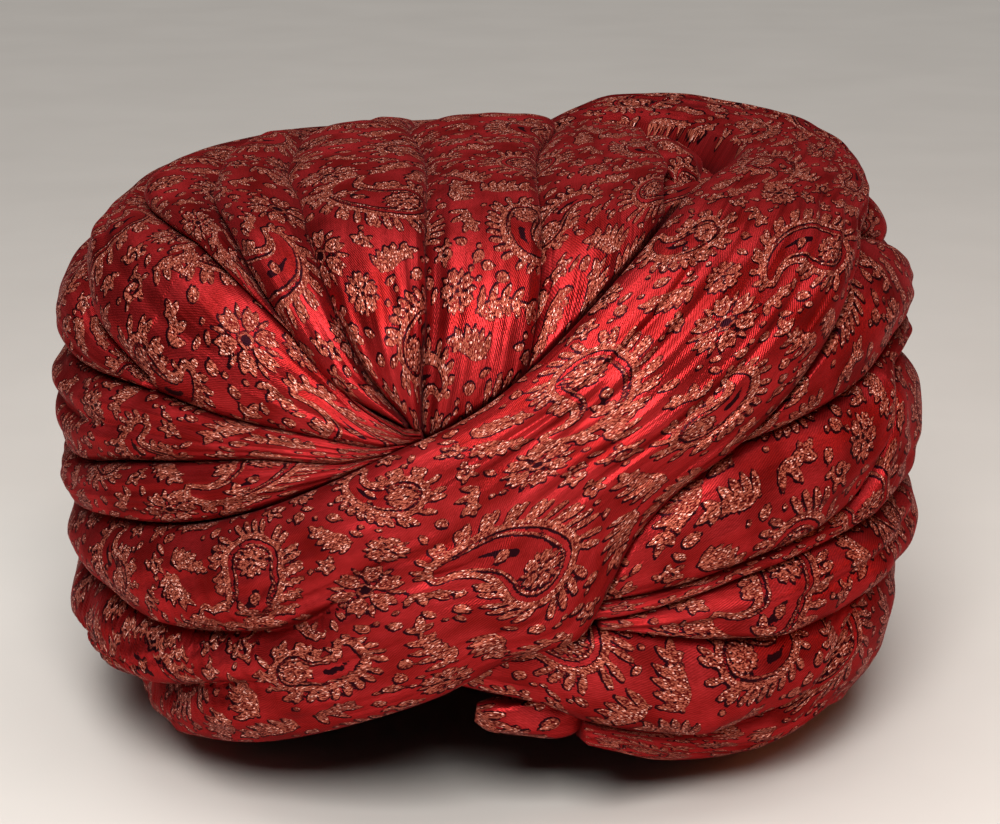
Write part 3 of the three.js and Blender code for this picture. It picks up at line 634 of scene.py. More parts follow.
class Cover:
    """How far a direction lies inside the edges of what covers it, in millimetres."""

    # How many directions are measured at once, and the millimetres in a degree at the crown's edge.
    AT_ONCE = 4000
    DEGREE = 2.2

    def __init__(self, band: Band, sections: int = 700) -> None:
        """Lays out the band's sections as flat strips.

        Args:
            band: The band that crosses the front.
            sections: How many strips there are.
        """
        s = np.linspace(0, 1, sections)
        self.lower, upper = band.edges(s)
        self.across = upper - self.lower
        self.width = np.linalg.norm(self.across, axis=1)
        self.centre = normalised(self.lower + 0.5 * self.across)
        self.height = (self.lower * self.centre).sum(1)
        self.along = normalised(np.cross(self.across, self.centre))

    def under_band(self, dirs: np.ndarray) -> np.ndarray:
        """Measures how far inside the crossing band's edges directions lie.

        Args:
            dirs: Unit directions.

        Returns:
            Millimetres inside the strip that covers each direction best, below 0 where none does.
        """
        flat = dirs.reshape(-1, 3)
        result = np.empty(len(flat))
        for start in range(0, len(flat), self.AT_ONCE):
            part = flat[start : start + self.AT_ONCE]
            facing = part @ self.centre.T
            scale = self.height / np.maximum(facing, 0.3)
            v = (part @ self.across.T * scale - (self.lower * self.across).sum(1)) / self.width**2
            inside = np.minimum(v, 1 - v) * self.width * HALF_WIDTH
            astray = np.abs(part @ self.along.T * scale - (self.lower * self.along).sum(1)) * HALF_WIDTH
            # A strip on the turban's other side counts as far away.
            astray = astray + 1000 * (facing < 0.5)
            ends = 3 - 3 * np.maximum(astray - 1, 0)
            result[start : start + self.AT_ONCE] = np.minimum(inside, ends).max(1)
        return result.reshape(dirs.shape[:-1])

    def under_shoulder(self, dirs: np.ndarray) -> np.ndarray:
        """Measures how far below the crown's edge the upper shoulder turn lies over the pleats' ends.

        Args:
            dirs: Unit directions.

        Returns:
            Millimetres below the edge, below 0 above it and in front.
        """
        turn = np.degrees(-np.arctan2(dirs[..., 0], -dirs[..., 1])) % 360
        elevation = np.degrees(np.arcsin(np.clip(dirs[..., 2], -1, 1)))
        inside = (pairs_column(CREASES["crown_edge"], turn) - elevation) * self.DEGREE
        return np.where((turn > 60) & (turn < 296), inside, -10.0)


class Ink(Enum):
    """The two threads that draw the brocade's figures on its satin ground."""

    COPPER = "copper"
    NAVY = "navy"


# A stroke of the pattern: its points in millimetres, its half width at each or at all, and its thread.
Stroke = tuple[np.ndarray, Series | float, Ink]


class Tile:
    """A repeat of the woven pattern, as distances in millimetres to the edge of its figures."""

    # The distance that an empty place starts with, and how far round a stroke distances are drawn.
    FAR = 6.0
    MARGIN = 4.0

    def __init__(self, width: float = 126.0, height: float = 112.0, step: float = 0.28) -> None:
        """Lays out an empty repeat.

        Args:
            width, height: The repeat's size in millimetres.
            step: The distance between its points, at most.
        """
        self.size = np.array([width, height])
        self.cells = np.round(self.size / step).astype(int)
        self.step = self.size / self.cells
        self.fields = {ink: np.full(tuple(self.cells), self.FAR) for ink in Ink}

    def stroke(self, points: Series, halves: Series | float, ink: Ink = Ink.COPPER) -> None:
        """Adds a line of round-ended strokes.

        Args:
            points: The line's points in millimetres, one row each.
            halves: The half width at each point, or one for all.
            ink: The thread.
        """
        points = np.asarray(points, float)
        halves = np.broadcast_to(np.asarray(halves, float), (len(points),))
        for a, b, ra, rb in zip(points[:-1], points[1:], halves[:-1], halves[1:]):
            reach = max(ra, rb) + self.MARGIN
            low = np.floor((np.minimum(a, b) - reach) / self.step).astype(int)
            high = np.ceil((np.maximum(a, b) + reach) / self.step).astype(int)
            i, j = np.arange(low[0], high[0]), np.arange(low[1], high[1])
            x = ((i + 0.5) * self.step[0])[:, None] - a[0]
            y = ((j + 0.5) * self.step[1])[None, :] - a[1]
            line = b - a
            t = np.clip((x * line[0] + y * line[1]) / max(line @ line, 1e-9), 0, 1)
            away = np.hypot(x - t * line[0], y - t * line[1]) - lerp(ra, rb, t)
            cells = np.ix_(i % self.cells[0], j % self.cells[1])
            self.fields[ink][cells] = np.minimum(self.fields[ink][cells], away)

    def sample(self, ink: Ink, u: np.ndarray, v: np.ndarray) -> np.ndarray:
        """Reads distances between the tile's points, which repeat without end.

        Args:
            ink: The thread.
            u, v: Places in millimetres.

        Returns:
            The distance to that thread's figures at each place, below 0 inside them.
        """
        x, y = u / self.step[0] - 0.5, v / self.step[1] - 0.5
        i, j = np.floor(x).astype(int), np.floor(y).astype(int)
        fx, fy = x - i, y - j
        grid = self.fields[ink]
        left, right = i % self.cells[0], (i + 1) % self.cells[0]
        rows = (row % self.cells[1] for row in (j, j + 1))
        low, high = (lerp(grid[left, row], grid[right, row], fx) for row in rows)
        return lerp(low, high, fy)


class Figures:
    """The brocade's figures, each a list of strokes round its own middle. Angles are in radians."""

    @staticmethod
    def petal(start: Series, angle: float, length: float, half: float) -> Stroke:
        """Draws a pointed oval.

        Args:
            start: Where it starts.
            angle: Its direction.
            length, half: Its length and its half width in millimetres.

        Returns:
            The stroke.
        """
        t = np.linspace(0, 1, 5)[:, None]
        points = np.asarray(start) + t * length * np.array([math.cos(angle), math.sin(angle)])
        return points, half * np.array([0.4, 0.95, 1.05, 0.75, 0.3]), Ink.COPPER

    @staticmethod
    def flower(radius: float, petals: int) -> list[Stroke]:
        """Draws a flower of notched petals round a dark eye, with a small leaf between each two.

        Args:
            radius: Its radius in millimetres.
            petals: How many petals it has.

        Returns:
            The strokes.
        """
        parts = []
        for k in range(petals):
            angle = 2 * math.pi * k / petals
            start = 0.34 * radius * np.array([math.cos(angle), math.sin(angle)])
            for side in (-0.24, 0.24):
                parts.append(Figures.petal(start, angle + side, 0.62 * radius, radius * 0.95 / petals))
            between = angle + math.pi / petals
            tip = 0.62 * radius * np.array([math.cos(between), math.sin(between)])
            parts.append(Figures.petal(tip, between, 0.42 * radius, 0.75))
        parts.append((np.array([[0, 0], [0.1, 0]]), 0.2 * radius, Ink.NAVY))
        ring = np.linspace(0, 2 * math.pi, 13)
        circle = 0.2 * radius * np.stack([np.cos(ring), np.sin(ring)], axis=1)
        parts.append((circle, 0.5, Ink.COPPER))
        return parts

    @staticmethod
    def curl(radius: float, turns: float = 1.2, half: float = 0.95) -> list[Stroke]:
        """Draws a spiral that opens into a tail, with small leaves along its back.

        Args:
            radius: Its radius in millimetres.
            turns: How often it goes round.
            half: Its line's half width in millimetres.

        Returns:
            The strokes.
        """
        t = np.linspace(0, 1, 22)
        angle = 2 * math.pi * turns * t
        reach = radius * (1 - 0.8 * t)
        points = np.stack([reach * np.cos(angle), reach * np.sin(angle)], axis=1)
        parts = [(points, half * (0.7 + 0.5 * t), Ink.COPPER)]
        for i in range(1, 13, 3):
            parts.append(Figures.petal(points[i] * 1.22, angle[i] + 0.5, 0.62 * radius, 0.85))
        return parts

    @staticmethod
    def spray(length: float, leaves: int, bend: float = 0.5, leaf: float = 6.5) -> list[Stroke]:
        """Draws a bent stem with pairs of leaves and one at its tip.

        Args:
            length: The stem's length in millimetres.
            leaves: How many pairs of leaves it has.
            bend: How far it bends.
            leaf: The lowest leaves' length in millimetres.

        Returns:
            The strokes.
        """
        t = np.linspace(0, 1, 16)
        angle = bend * t
        points = length * np.stack([t * np.cos(angle), t * np.sin(angle)], axis=1)
        parts = [(points, 0.55, Ink.COPPER)]
        for k in range(leaves):
            i = 1 + k * 13 // max(leaves - 1, 1)
            heading = math.atan2(*(points[i] - points[i - 1])[::-1])
            size = leaf * (1 - 0.4 * k / leaves)
            for side in (-1, 1):
                parts.append(Figures.petal(points[i], heading + side * 0.95, size, 1.3))
        heading = math.atan2(*(points[-1] - points[-2])[::-1])
        parts.append(Figures.petal(points[-1], heading, leaf * 0.8, 1.3))
        return parts

    @staticmethod
    def paisley(radius: float, length: float, curl: float = 2.7, fringe: float = 3.5,
                lobe: float = 6.0) -> list[Stroke]:
        """Draws a paisley: a curled drop with a comb of lobes, an inner line and a flower in its belly.

        Args:
            radius: Its belly's radius in millimetres.
            length: Its spine's length in millimetres.
            curl: How far its tip turns round.
            fringe: The lobes' spacing in millimetres.
            lobe: The longest lobe's length in millimetres.

        Returns:
            The strokes.
        """
        steps = 30
        t = np.linspace(0, 1, steps)
        heading = math.pi / 2 - curl * t**1.7
        spine = np.cumsum(np.stack([np.cos(heading), np.sin(heading)], axis=1), axis=0) * length / steps
        spine -= spine[0]
        normal = np.stack([-np.sin(heading), np.cos(heading)], axis=1)

        def outline(share: float) -> np.ndarray:
            """Traces the drop at a share of its size.

            Args:
                share: The share of the radius.

            Returns:
                The line's points, from the tip down the left side, round the bowl and up the right side.
            """
            half = share * radius * (1 - t) ** 0.62 * (1 + 0.25 * t)
            base = np.linspace(math.pi, 2 * math.pi, 14)[1:-1]
            bowl = share * radius * np.stack([np.cos(base), np.sin(base)], axis=1)
            left, right = spine + normal * half[:, None], spine - normal * half[:, None]
            return np.concatenate([left[::-1], bowl, right])

        outer = outline(1.0)
        parts = [(outer, 1.15, Ink.COPPER), (outline(0.66)[4:-4], 0.45, Ink.COPPER)]
        tangent = np.gradient(outer, axis=0)
        out = normalised(np.stack([tangent[:, 1], -tangent[:, 0]], axis=1)) * -1
        if (out * (outer - spine[2])).sum(1).mean() < 0:
            out = -out
        travelled = np.concatenate([[0], np.cumsum(np.linalg.norm(np.diff(outer, axis=0), axis=1))])
        ahead = normalised(tangent)
        for place in np.arange(1.0, travelled[-1] * 0.86, fringe):
            i = int(np.searchsorted(travelled, place))
            long = lobe * math.sin(math.pi * min(place / travelled[-1] / 0.92, 1)) ** 0.6 + 1.0
            lean = out[i] * 0.85 + ahead[i] * 0.5
            points = outer[i] + lean * np.array([[1.6], [1.8 + 0.55 * long], [1.6 + long]])
            parts.append((points, [0.6, 1.3, 0.9], Ink.COPPER))
        parts += Figures.flower(radius * 0.56, 5)
        tip = np.array([spine[9], spine[13], spine[18]])
        parts.append((tip, [1.5, 1.2, 0.4], Ink.NAVY))
        return parts

    @staticmethod
    def placed(strokes: list[Stroke], x: float, y: float, angle: float, scale: float = 1.0,
               mirror: bool = False) -> list[Stroke]:
        """Places a figure.

        Args:
            strokes: The figure.
            x, y: Where its middle goes, in millimetres.
            angle: How far it is turned, in degrees.
            scale: How much larger it gets. Its lines' widths follow by half.
            mirror: Whether it is mirrored first.

        Returns:
            The placed strokes.
        """
        c, s = math.cos(math.radians(angle)) * scale, math.sin(math.radians(angle)) * scale
        turn = np.array([[c, s], [-s, c]])
        flip = np.array([-1.0 if mirror else 1.0, 1.0])
        shrink = 0.5 + 0.5 * scale
        return [
            ((points * flip) @ turn + [x, y], np.asarray(halves) * shrink, ink)
            for points, halves, ink in strokes
        ]


class Brocade:
    """The woven pattern: one tile of paisleys, flowers, sprays and curls."""

    # The small figures' least distance to others, the outline's width, and where it is looked up, which
    # makes it thicker on one side. All are in millimetres.
    CLEARANCE = 1.55
    OUTLINE = 0.5
    SHADOW = (-0.35, 0.22)

    def __init__(self, seed: int = 11) -> None:
        """Draws the large figures at their places, and strews small ones between them.

        Args:
            seed: The seed of the small figures' places.
        """
        self.tile = Tile()
        self.draw_large()
        self.strew_small(np.random.default_rng(seed))

    def draw_large(self) -> None:
        """Draws the large paisleys, flowers and sprays, each at its place in the repeat."""
        big, small = Figures.paisley(11.5, 44), Figures.paisley(9.0, 32, lobe=4.6)
        for parts, x, y, angle, scale, mirror in (
            (big, 26, 26, 8, 1.0, False),
            (big, 94, 86, 186, 0.95, True),
            (small, 98, 24, 112, 0.9, False),
            (small, 34, 88, -64, 0.88, True),
            (Figures.flower(12.0, 6), 66, 54, 10, 1.0, False),
            (Figures.flower(10.0, 6), 2, 62, 0, 1.0, False),
            (Figures.spray(22, 5), 60, 6, 60, 1.0, False),
            (Figures.spray(20, 5, -0.6), 112, 48, 150, 1.0, False),
        ):
            self.draw(Figures.placed(parts, x, y, angle, scale, mirror))

    def strew_small(self, rng: np.random.Generator) -> None:
        """Strews small figures, the larger first, wherever a random place has room.

        Args:
            rng: The source of random places.
        """
        fan = [Figures.petal((0, 0), 0.3 * k - 0.6, 5.0 - abs(k - 2), 0.95) for k in range(5)]
        dot = [(np.array([[0, 0], [0.2, 0]]), 0.9, Ink.COPPER)]
        for parts, tries in (
            (Figures.spray(15, 5), 120),
            (Figures.flower(7.5, 5), 120),
            (Figures.curl(5.2), 140),
            (Figures.spray(9, 3, -0.8, 5.4), 220),
            (Figures.curl(3.4, 1.1, 0.8), 260),
            (fan, 260),
            ([Figures.petal((0, 0), 0.0, 4.2, 1.1)], 260),
            (dot, 160),
        ):
            for _ in range(tries):
                x, y = rng.uniform(0, 1, 2) * self.tile.size
                angle, scale, mirror = rng.uniform(0, 360), rng.uniform(0.85, 1.15), rng.random() < 0.5
                placed = Figures.placed(parts, x, y, angle, scale, mirror)
                points = np.concatenate([stroke[0] for stroke in placed])
                if self.tile.sample(Ink.COPPER, points[:, 0], points[:, 1]).min() > self.CLEARANCE:
                    self.draw(placed)

    def draw(self, strokes: list[Stroke]) -> None:
        """Adds a placed figure's strokes to the tile."""
        for points, halves, ink in strokes:
            self.tile.stroke(points, halves, ink)

    def read(self, u: np.ndarray, v: np.ndarray) -> tuple[np.ndarray, np.ndarray]:
        """Reads the pattern. Navy outlines each copper figure, thicker on one side, and fills the eyes.

        Args:
            u, v: Places on the flat cloth in millimetres.

        Returns:
            The distances to the copper and to the navy thread.
        """
        copper = self.tile.sample(Ink.COPPER, u, v)
        shadow = self.tile.sample(Ink.COPPER, u + self.SHADOW[0], v + self.SHADOW[1])
        return copper, np.minimum(shadow - self.OUTLINE, self.tile.sample(Ink.NAVY, u, v))


@dataclass(frozen=True)
class Cloth:
    """How a fold's cloth lies: its long creases, its unevenness in millimetres and its pattern's angle.

    Fine and coarse are the spacing of its points in front and elsewhere, in millimetres.
    """

    seed: int
    creases: Creases
    unevenness: float = 0.8
    pattern_turn: float = 0.0
    fine: float = FINE_STEP
    coarse: float = COARSE_STEP


@dataclass
class Weaver:
    """Makes each fold's closed mesh, with its pattern stored on its points."""

    brocade: Brocade
    cover: Cover
    material: bpy.types.Material
    # The lift of a fold that another presses flat, just over the inner turns.
    least: float = -FOLD_DEPTH + 0.6

    def stations(self, fold: Fold, cloth: Cloth) -> np.ndarray:
        """Chooses the sections, close together in front.

        Args:
            fold: The fold.
            cloth: How its cloth lies.

        Returns:
            Shares of the fold's length.
        """
        s = np.linspace(0, 1, 500)
        middle = np.full_like(s, 0.5)
        dirs = fold.dirs(s, middle)
        points = hull_point(dirs, fold.lift(s, middle))
        lengths = np.linalg.norm(np.diff(points, axis=0), axis=1)
        seen = smoothstep(-0.35, 0.0, -dirs[:, 1] * 0.96 + dirs[:, 2] * 0.26)
        step = lerp(cloth.coarse, cloth.fine, seen)
        travelled = np.concatenate([[0], np.cumsum(lengths * 2 / (step[1:] + step[:-1]))])
        count = max(int(round(travelled[-1])), 12)
        return np.interp(np.linspace(0, travelled[-1], count + 1), travelled, s)

    def places(self, fold: Fold, s: np.ndarray, cloth: Cloth) -> tuple[np.ndarray, float]:
        """Chooses the places across a fold, at even steps over its surface where it is widest.

        Args:
            fold: The fold.
            s: Its sections, as shares of its length.
            cloth: How its cloth lies.

        Returns:
            Shares of the fold's width, and that width in millimetres.
        """
        v = np.linspace(0, 1, 300)
        grid_s, grid_v = np.meshgrid(s[:: max(len(s) // 40, 1)], v, indexing="ij")
        points = hull_point(fold.dirs(grid_s, grid_v), fold.lift(grid_s, grid_v))
        steps = np.linalg.norm(np.diff(points, axis=1), axis=2)
        row = steps[np.argmax(steps.sum(1))]
        travelled = np.concatenate([[0], np.cumsum(row)])
        count = max(int(round(travelled[-1] / cloth.fine)), 8)
        return np.interp(np.linspace(0, travelled[-1], count + 1), travelled, v), travelled[-1]

    def surface(self, fold: Fold, cloth: Cloth) -> tuple[np.ndarray, ...]:
        """Makes a fold's outer surface: its form, its creases, its unevenness and its gathers.

        Args:
            fold: The fold.
            cloth: How its cloth lies.

        Returns:
            The shares of its length and width, and grids of the points and of their millimetres along and
            across the flat cloth.
        """
        s = self.stations(fold, cloth)
        v, width = self.places(fold, s, cloth)
        grid_s, grid_v = np.meshgrid(s, v, indexing="ij")
        dirs = fold.dirs(grid_s, grid_v)
        lift = fold.lift(grid_s, grid_v)
        rough = hull_point(dirs, lift)
        middle = rough[:, len(v) // 2]
        along = np.concatenate([[0], np.cumsum(np.linalg.norm(np.diff(middle, axis=0), axis=1))])
        steps = np.linalg.norm(np.diff(rough, axis=1), axis=2)
        across = np.concatenate([np.zeros((len(s), 1)), np.cumsum(steps, axis=1)], axis=1)
        real = across[:, -1]
        across = across / np.maximum(real, 0.5)[:, None] * width
        flat_u = np.broadcast_to(along[:, None], across.shape)
        edge = smoothstep(0, 0.14, grid_v) * smoothstep(0, 0.14, 1 - grid_v)
        ease = np.clip(real / width, 0.12, 1)[:, None]
        # Slow swells, finer waves drawn out along the cloth, and where it narrows, gathers along it.
        swells = cloth.unevenness * ripples(cloth.seed, flat_u, across, 9, 22, 60)
        waves = 0.28 * cloth.unevenness * ripples(cloth.seed + 500, flat_u * 0.35, across, 9, 7, 14)
        gather = smoothstep(0.05, 0.55, 1 - ease)
        gathers = 1.1 * gather * ripples(cloth.seed + 900, flat_u * 0.08, across, 8, 6, 13)
        creases = cloth.creases.lift(flat_u, across, along[-1], width)
        lift = lift + (creases + swells + waves + gathers) * edge * ease
        if fold.name != "cross_band":
            lift = self.tucked(dirs, lift, fold)
        points = hull_point(dirs, np.maximum(lift, self.least - 0.05))
        return s, v, points, flat_u, across

    def tucked(self, dirs: np.ndarray, lift: np.ndarray, fold: Fold) -> np.ndarray:
        """Sinks a fold where the band or the shoulder lies over it.

        Args:
            dirs: The directions of its points.
            lift: Their lift in millimetres.
            fold: The fold.

        Returns:
            The sunk lift.
        """
        i = np.unique(np.linspace(0, dirs.shape[0] - 1, min(dirs.shape[0], 260)).astype(int))
        j = np.unique(np.linspace(0, dirs.shape[1] - 1, min(dirs.shape[1], 26)).astype(int))
        inside = self.cover.under_band(dirs[np.ix_(i, j)])
        if fold.name.startswith("crown_pleat"):
            inside = np.maximum(inside, self.cover.under_shoulder(dirs[np.ix_(i, j)]))
        rows = np.stack([np.interp(np.arange(dirs.shape[1]), j, row) for row in inside])
        inside = np.stack([np.interp(np.arange(dirs.shape[0]), i, col) for col in rows.T], axis=1)
        return lerp(lift, np.minimum(lift, self.least), smoothstep(-1.2, 2.6, inside))

    def fold(self, fold: Fold, cloth: Cloth) -> bpy.types.Object:
        """Makes one fold's piece.

        Args:
            fold: The fold.
            cloth: How its cloth lies.

        Returns:
            The Blender object.
        """
        s, v, outer, along, across = self.surface(fold, cloth)
        rng = np.random.default_rng(cloth.seed)
        shift = rng.uniform(0, 100, 2)
        turn = math.radians(cloth.pattern_turn)
        u_turned = along * math.cos(turn) - across * math.sin(turn) + shift[0]
        v_turned = along * math.sin(turn) + across * math.cos(turn) + shift[1]
        copper, navy = self.brocade.read(u_turned, v_turned)
        under_s, under_v = np.meshgrid(s, np.array([0.0, 0.5, 1.0]), indexing="ij")
        inner = core_point(fold.dirs(under_s, under_v), fold.seat)
        flat = np.stack([u_turned, v_turned], -1)
        return self.closed(fold.name + "_cloth", outer, inner, flat, copper, navy)

    def closed(self, name: str, outer: np.ndarray, inner: np.ndarray, flat: np.ndarray,
               copper: np.ndarray, navy: np.ndarray) -> bpy.types.Object:
        """Makes a closed piece from an outer and an inner grid of points.

        Args:
            name: The piece's name.
            outer, inner: Points in millimetres, with the same number of rows.
            flat: The outer points' places on the flat cloth.
            copper, navy: The outer points' distances to the pattern's threads.

        Returns:
            The Blender object.
        """
        rows, wide = outer.shape[:2]
        thin = inner.shape[1]
        ring = wide + thin
        points = np.concatenate([outer, inner[:, ::-1]], axis=1).reshape(-1, 3)
        points[:, 2] = np.maximum(points[:, 2], 0.0)
        i, k = np.meshgrid(np.arange(rows - 1), np.arange(ring), indexing="ij")
        a, b = i * ring + k, i * ring + (k + 1) % ring
        quads = np.stack([a, b, b + ring, a + ring], -1).reshape(-1, 4)
        caps = []
        for start, flip in ((0, False), ((rows - 1) * ring, True)):
            corners = [start + ring - 1 - q for q in range(thin)]
            cuts = np.linspace(0, wide - 1, thin).astype(int)
            for q in range(thin - 1):
                for j in range(cuts[q], cuts[q + 1]):
                    caps.append((corners[q], start + j + 1, start + j)[:: -1 if flip else 1])
                caps.append((corners[q], corners[q + 1], start + cuts[q + 1])[:: -1 if flip else 1])
        edge = np.repeat(flat[:, -1:], thin, axis=1)
        uv = np.concatenate([flat, edge], axis=1).reshape(-1, 2)
        # The side next to the head is plain ground, far from any figure.
        plain = np.full((rows, thin), Tile.MARGIN)
        threads = {"copper": copper, "navy": navy}
        threads = {key: np.concatenate([grid, plain], axis=1).reshape(-1) for key, grid in threads.items()}
        return piece_of(name, points, quads, caps, uv, self.material, threads)


def middle() -> np.ndarray:
    """The middle of the turban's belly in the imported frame, from the inner turns' box, in millimetres."""
    low, high = (np.array(corner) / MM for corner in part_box("inner_turns"))
    return (low + high) / 2 * [1, 1, 0]


def piece_of(name: str, points: np.ndarray, quads: Series, triangles: Series, uv: np.ndarray,
             material: bpy.types.Material, threads: dict[str, np.ndarray] | None = None) -> bpy.types.Object:
    """Makes a smooth piece that faces outwards, with its place in its mesh.

    Args:
        name: The piece's name.
        points: Points in millimetres, round the belly's middle.
        quads, triangles: Corner numbers.
        uv: Each point's place on the flat cloth in millimetres.
        material: Its finish.
        threads: Each point's distance to the pattern's threads, by the attribute's name.

    Returns:
        The Blender object.
    """
    points = (points + middle()) * MM
    quads, triangles = np.asarray(quads, np.int32), np.asarray(triangles, np.int32).reshape(-1, 3)
    mesh = bpy.data.meshes.new(name)
    mesh.vertices.add(len(points))
    mesh.vertices.foreach_set("co", points.astype(np.float32).ravel())
    corners = np.concatenate([quads.ravel(), triangles.ravel()])
    mesh.loops.add(len(corners))
    mesh.loops.foreach_set("vertex_index", corners)
    starts = np.concatenate([np.arange(len(quads)) * 4, len(quads) * 4 + np.arange(len(triangles)) * 3])
    mesh.polygons.add(len(starts))
    mesh.polygons.foreach_set("loop_start", starts.astype(np.int32))
    mesh.update(calc_edges=True)
    mesh.validate()
    layer = mesh.uv_layers.new(name="cloth")
    layer.data.foreach_set("uv", (uv[corners] / UV_UNIT).astype(np.float32).ravel())
    for key, values in (threads or {}).items():
        mesh.attributes.new(key, "FLOAT", "POINT").data.foreach_set("value", values.astype(np.float32))
    if signed_volume(points, quads, triangles) < 0:
        mesh.flip_normals()
    mesh.shade_smooth()
    mesh.materials.append(material)
    return placed_object(name, mesh)


def signed_volume(points: np.ndarray, quads: np.ndarray, triangles: np.ndarray) -> float:
    """Measures what a closed mesh holds.

    Args:
        points: Its points.
        quads, triangles: Corner numbers.

    Returns:
        The volume, below 0 if the mesh faces inwards.
    """
    faces = np.concatenate([quads[:, [0, 1, 2]], quads[:, [0, 2, 3]], triangles])
    a, b, c = (points[faces[:, k]] for k in range(3))
    return float((a * np.cross(b, c)).sum() / 6)


def placed_object(name: str, data: bpy.types.ID) -> bpy.types.Object:
    """Puts an object in the scene, at the origin.

    Args:
        name: The object's name.
        data: Its mesh, lamp or camera.

    Returns:
        The object.
    """
    piece = bpy.data.objects.new(name, data)
    bpy.context.scene.collection.objects.link(piece)
    return piece


def linear(colour: str) -> tuple[float, float, float, float]:
    """An sRGB hex colour as linear red, green, blue and alpha."""
    values = [int(colour.lstrip("#")[k : k + 2], 16) / 255 for k in (0, 2, 4)]
    return (*[c / 12.92 if c <= 0.04045 else ((c + 0.055) / 1.055) ** 2.4 for c in values], 1.0)


# What a node gives or takes.
Socket = bpy.types.NodeSocket


class Graph:
    """A node tree, with the one way to add a node, set it and link its inputs."""

    def __init__(self, tree: bpy.types.NodeTree) -> None:
        """Keeps the tree that the nodes go to."""
        self.tree = tree

    def add(self, kind: str, *values: object, named: dict | None = None, output: int | str | None = 0,
            **settings: object) -> Socket | bpy.types.Node:
        """Adds a node.

        Args:
            kind: The node's type. A shader node's goes without the word ShaderNode.
            values: Values or sockets for the first inputs, in order.
            named: Values or sockets for other inputs, by name or number.
            output: The output to return, by name or number, or None for the node itself.
            settings: The node's own settings.

        Returns:
            The chosen output, or the node.
        """
        node = self.tree.nodes.new(kind if "Node" in kind else "ShaderNode" + kind)
        for key, value in settings.items():
            setattr(node, key, value)
        for key, value in [*enumerate(values), *(named or {}).items()]:
            if isinstance(value, Socket):
                self.tree.links.new(value, node.inputs[key])
            else:
                node.inputs[key].default_value = value
        return node if output is None else node.outputs[output]


def new_material(name: str) -> tuple[bpy.types.Material, Graph]:
    """Makes a material without nodes.

    Args:
        name: Its name.

    Returns:
        The material and the graph that its nodes go to.
    """
    material = bpy.data.materials.new(name)
    material.use_nodes = True
    material.node_tree.nodes.clear()
    return material, Graph(material.node_tree)


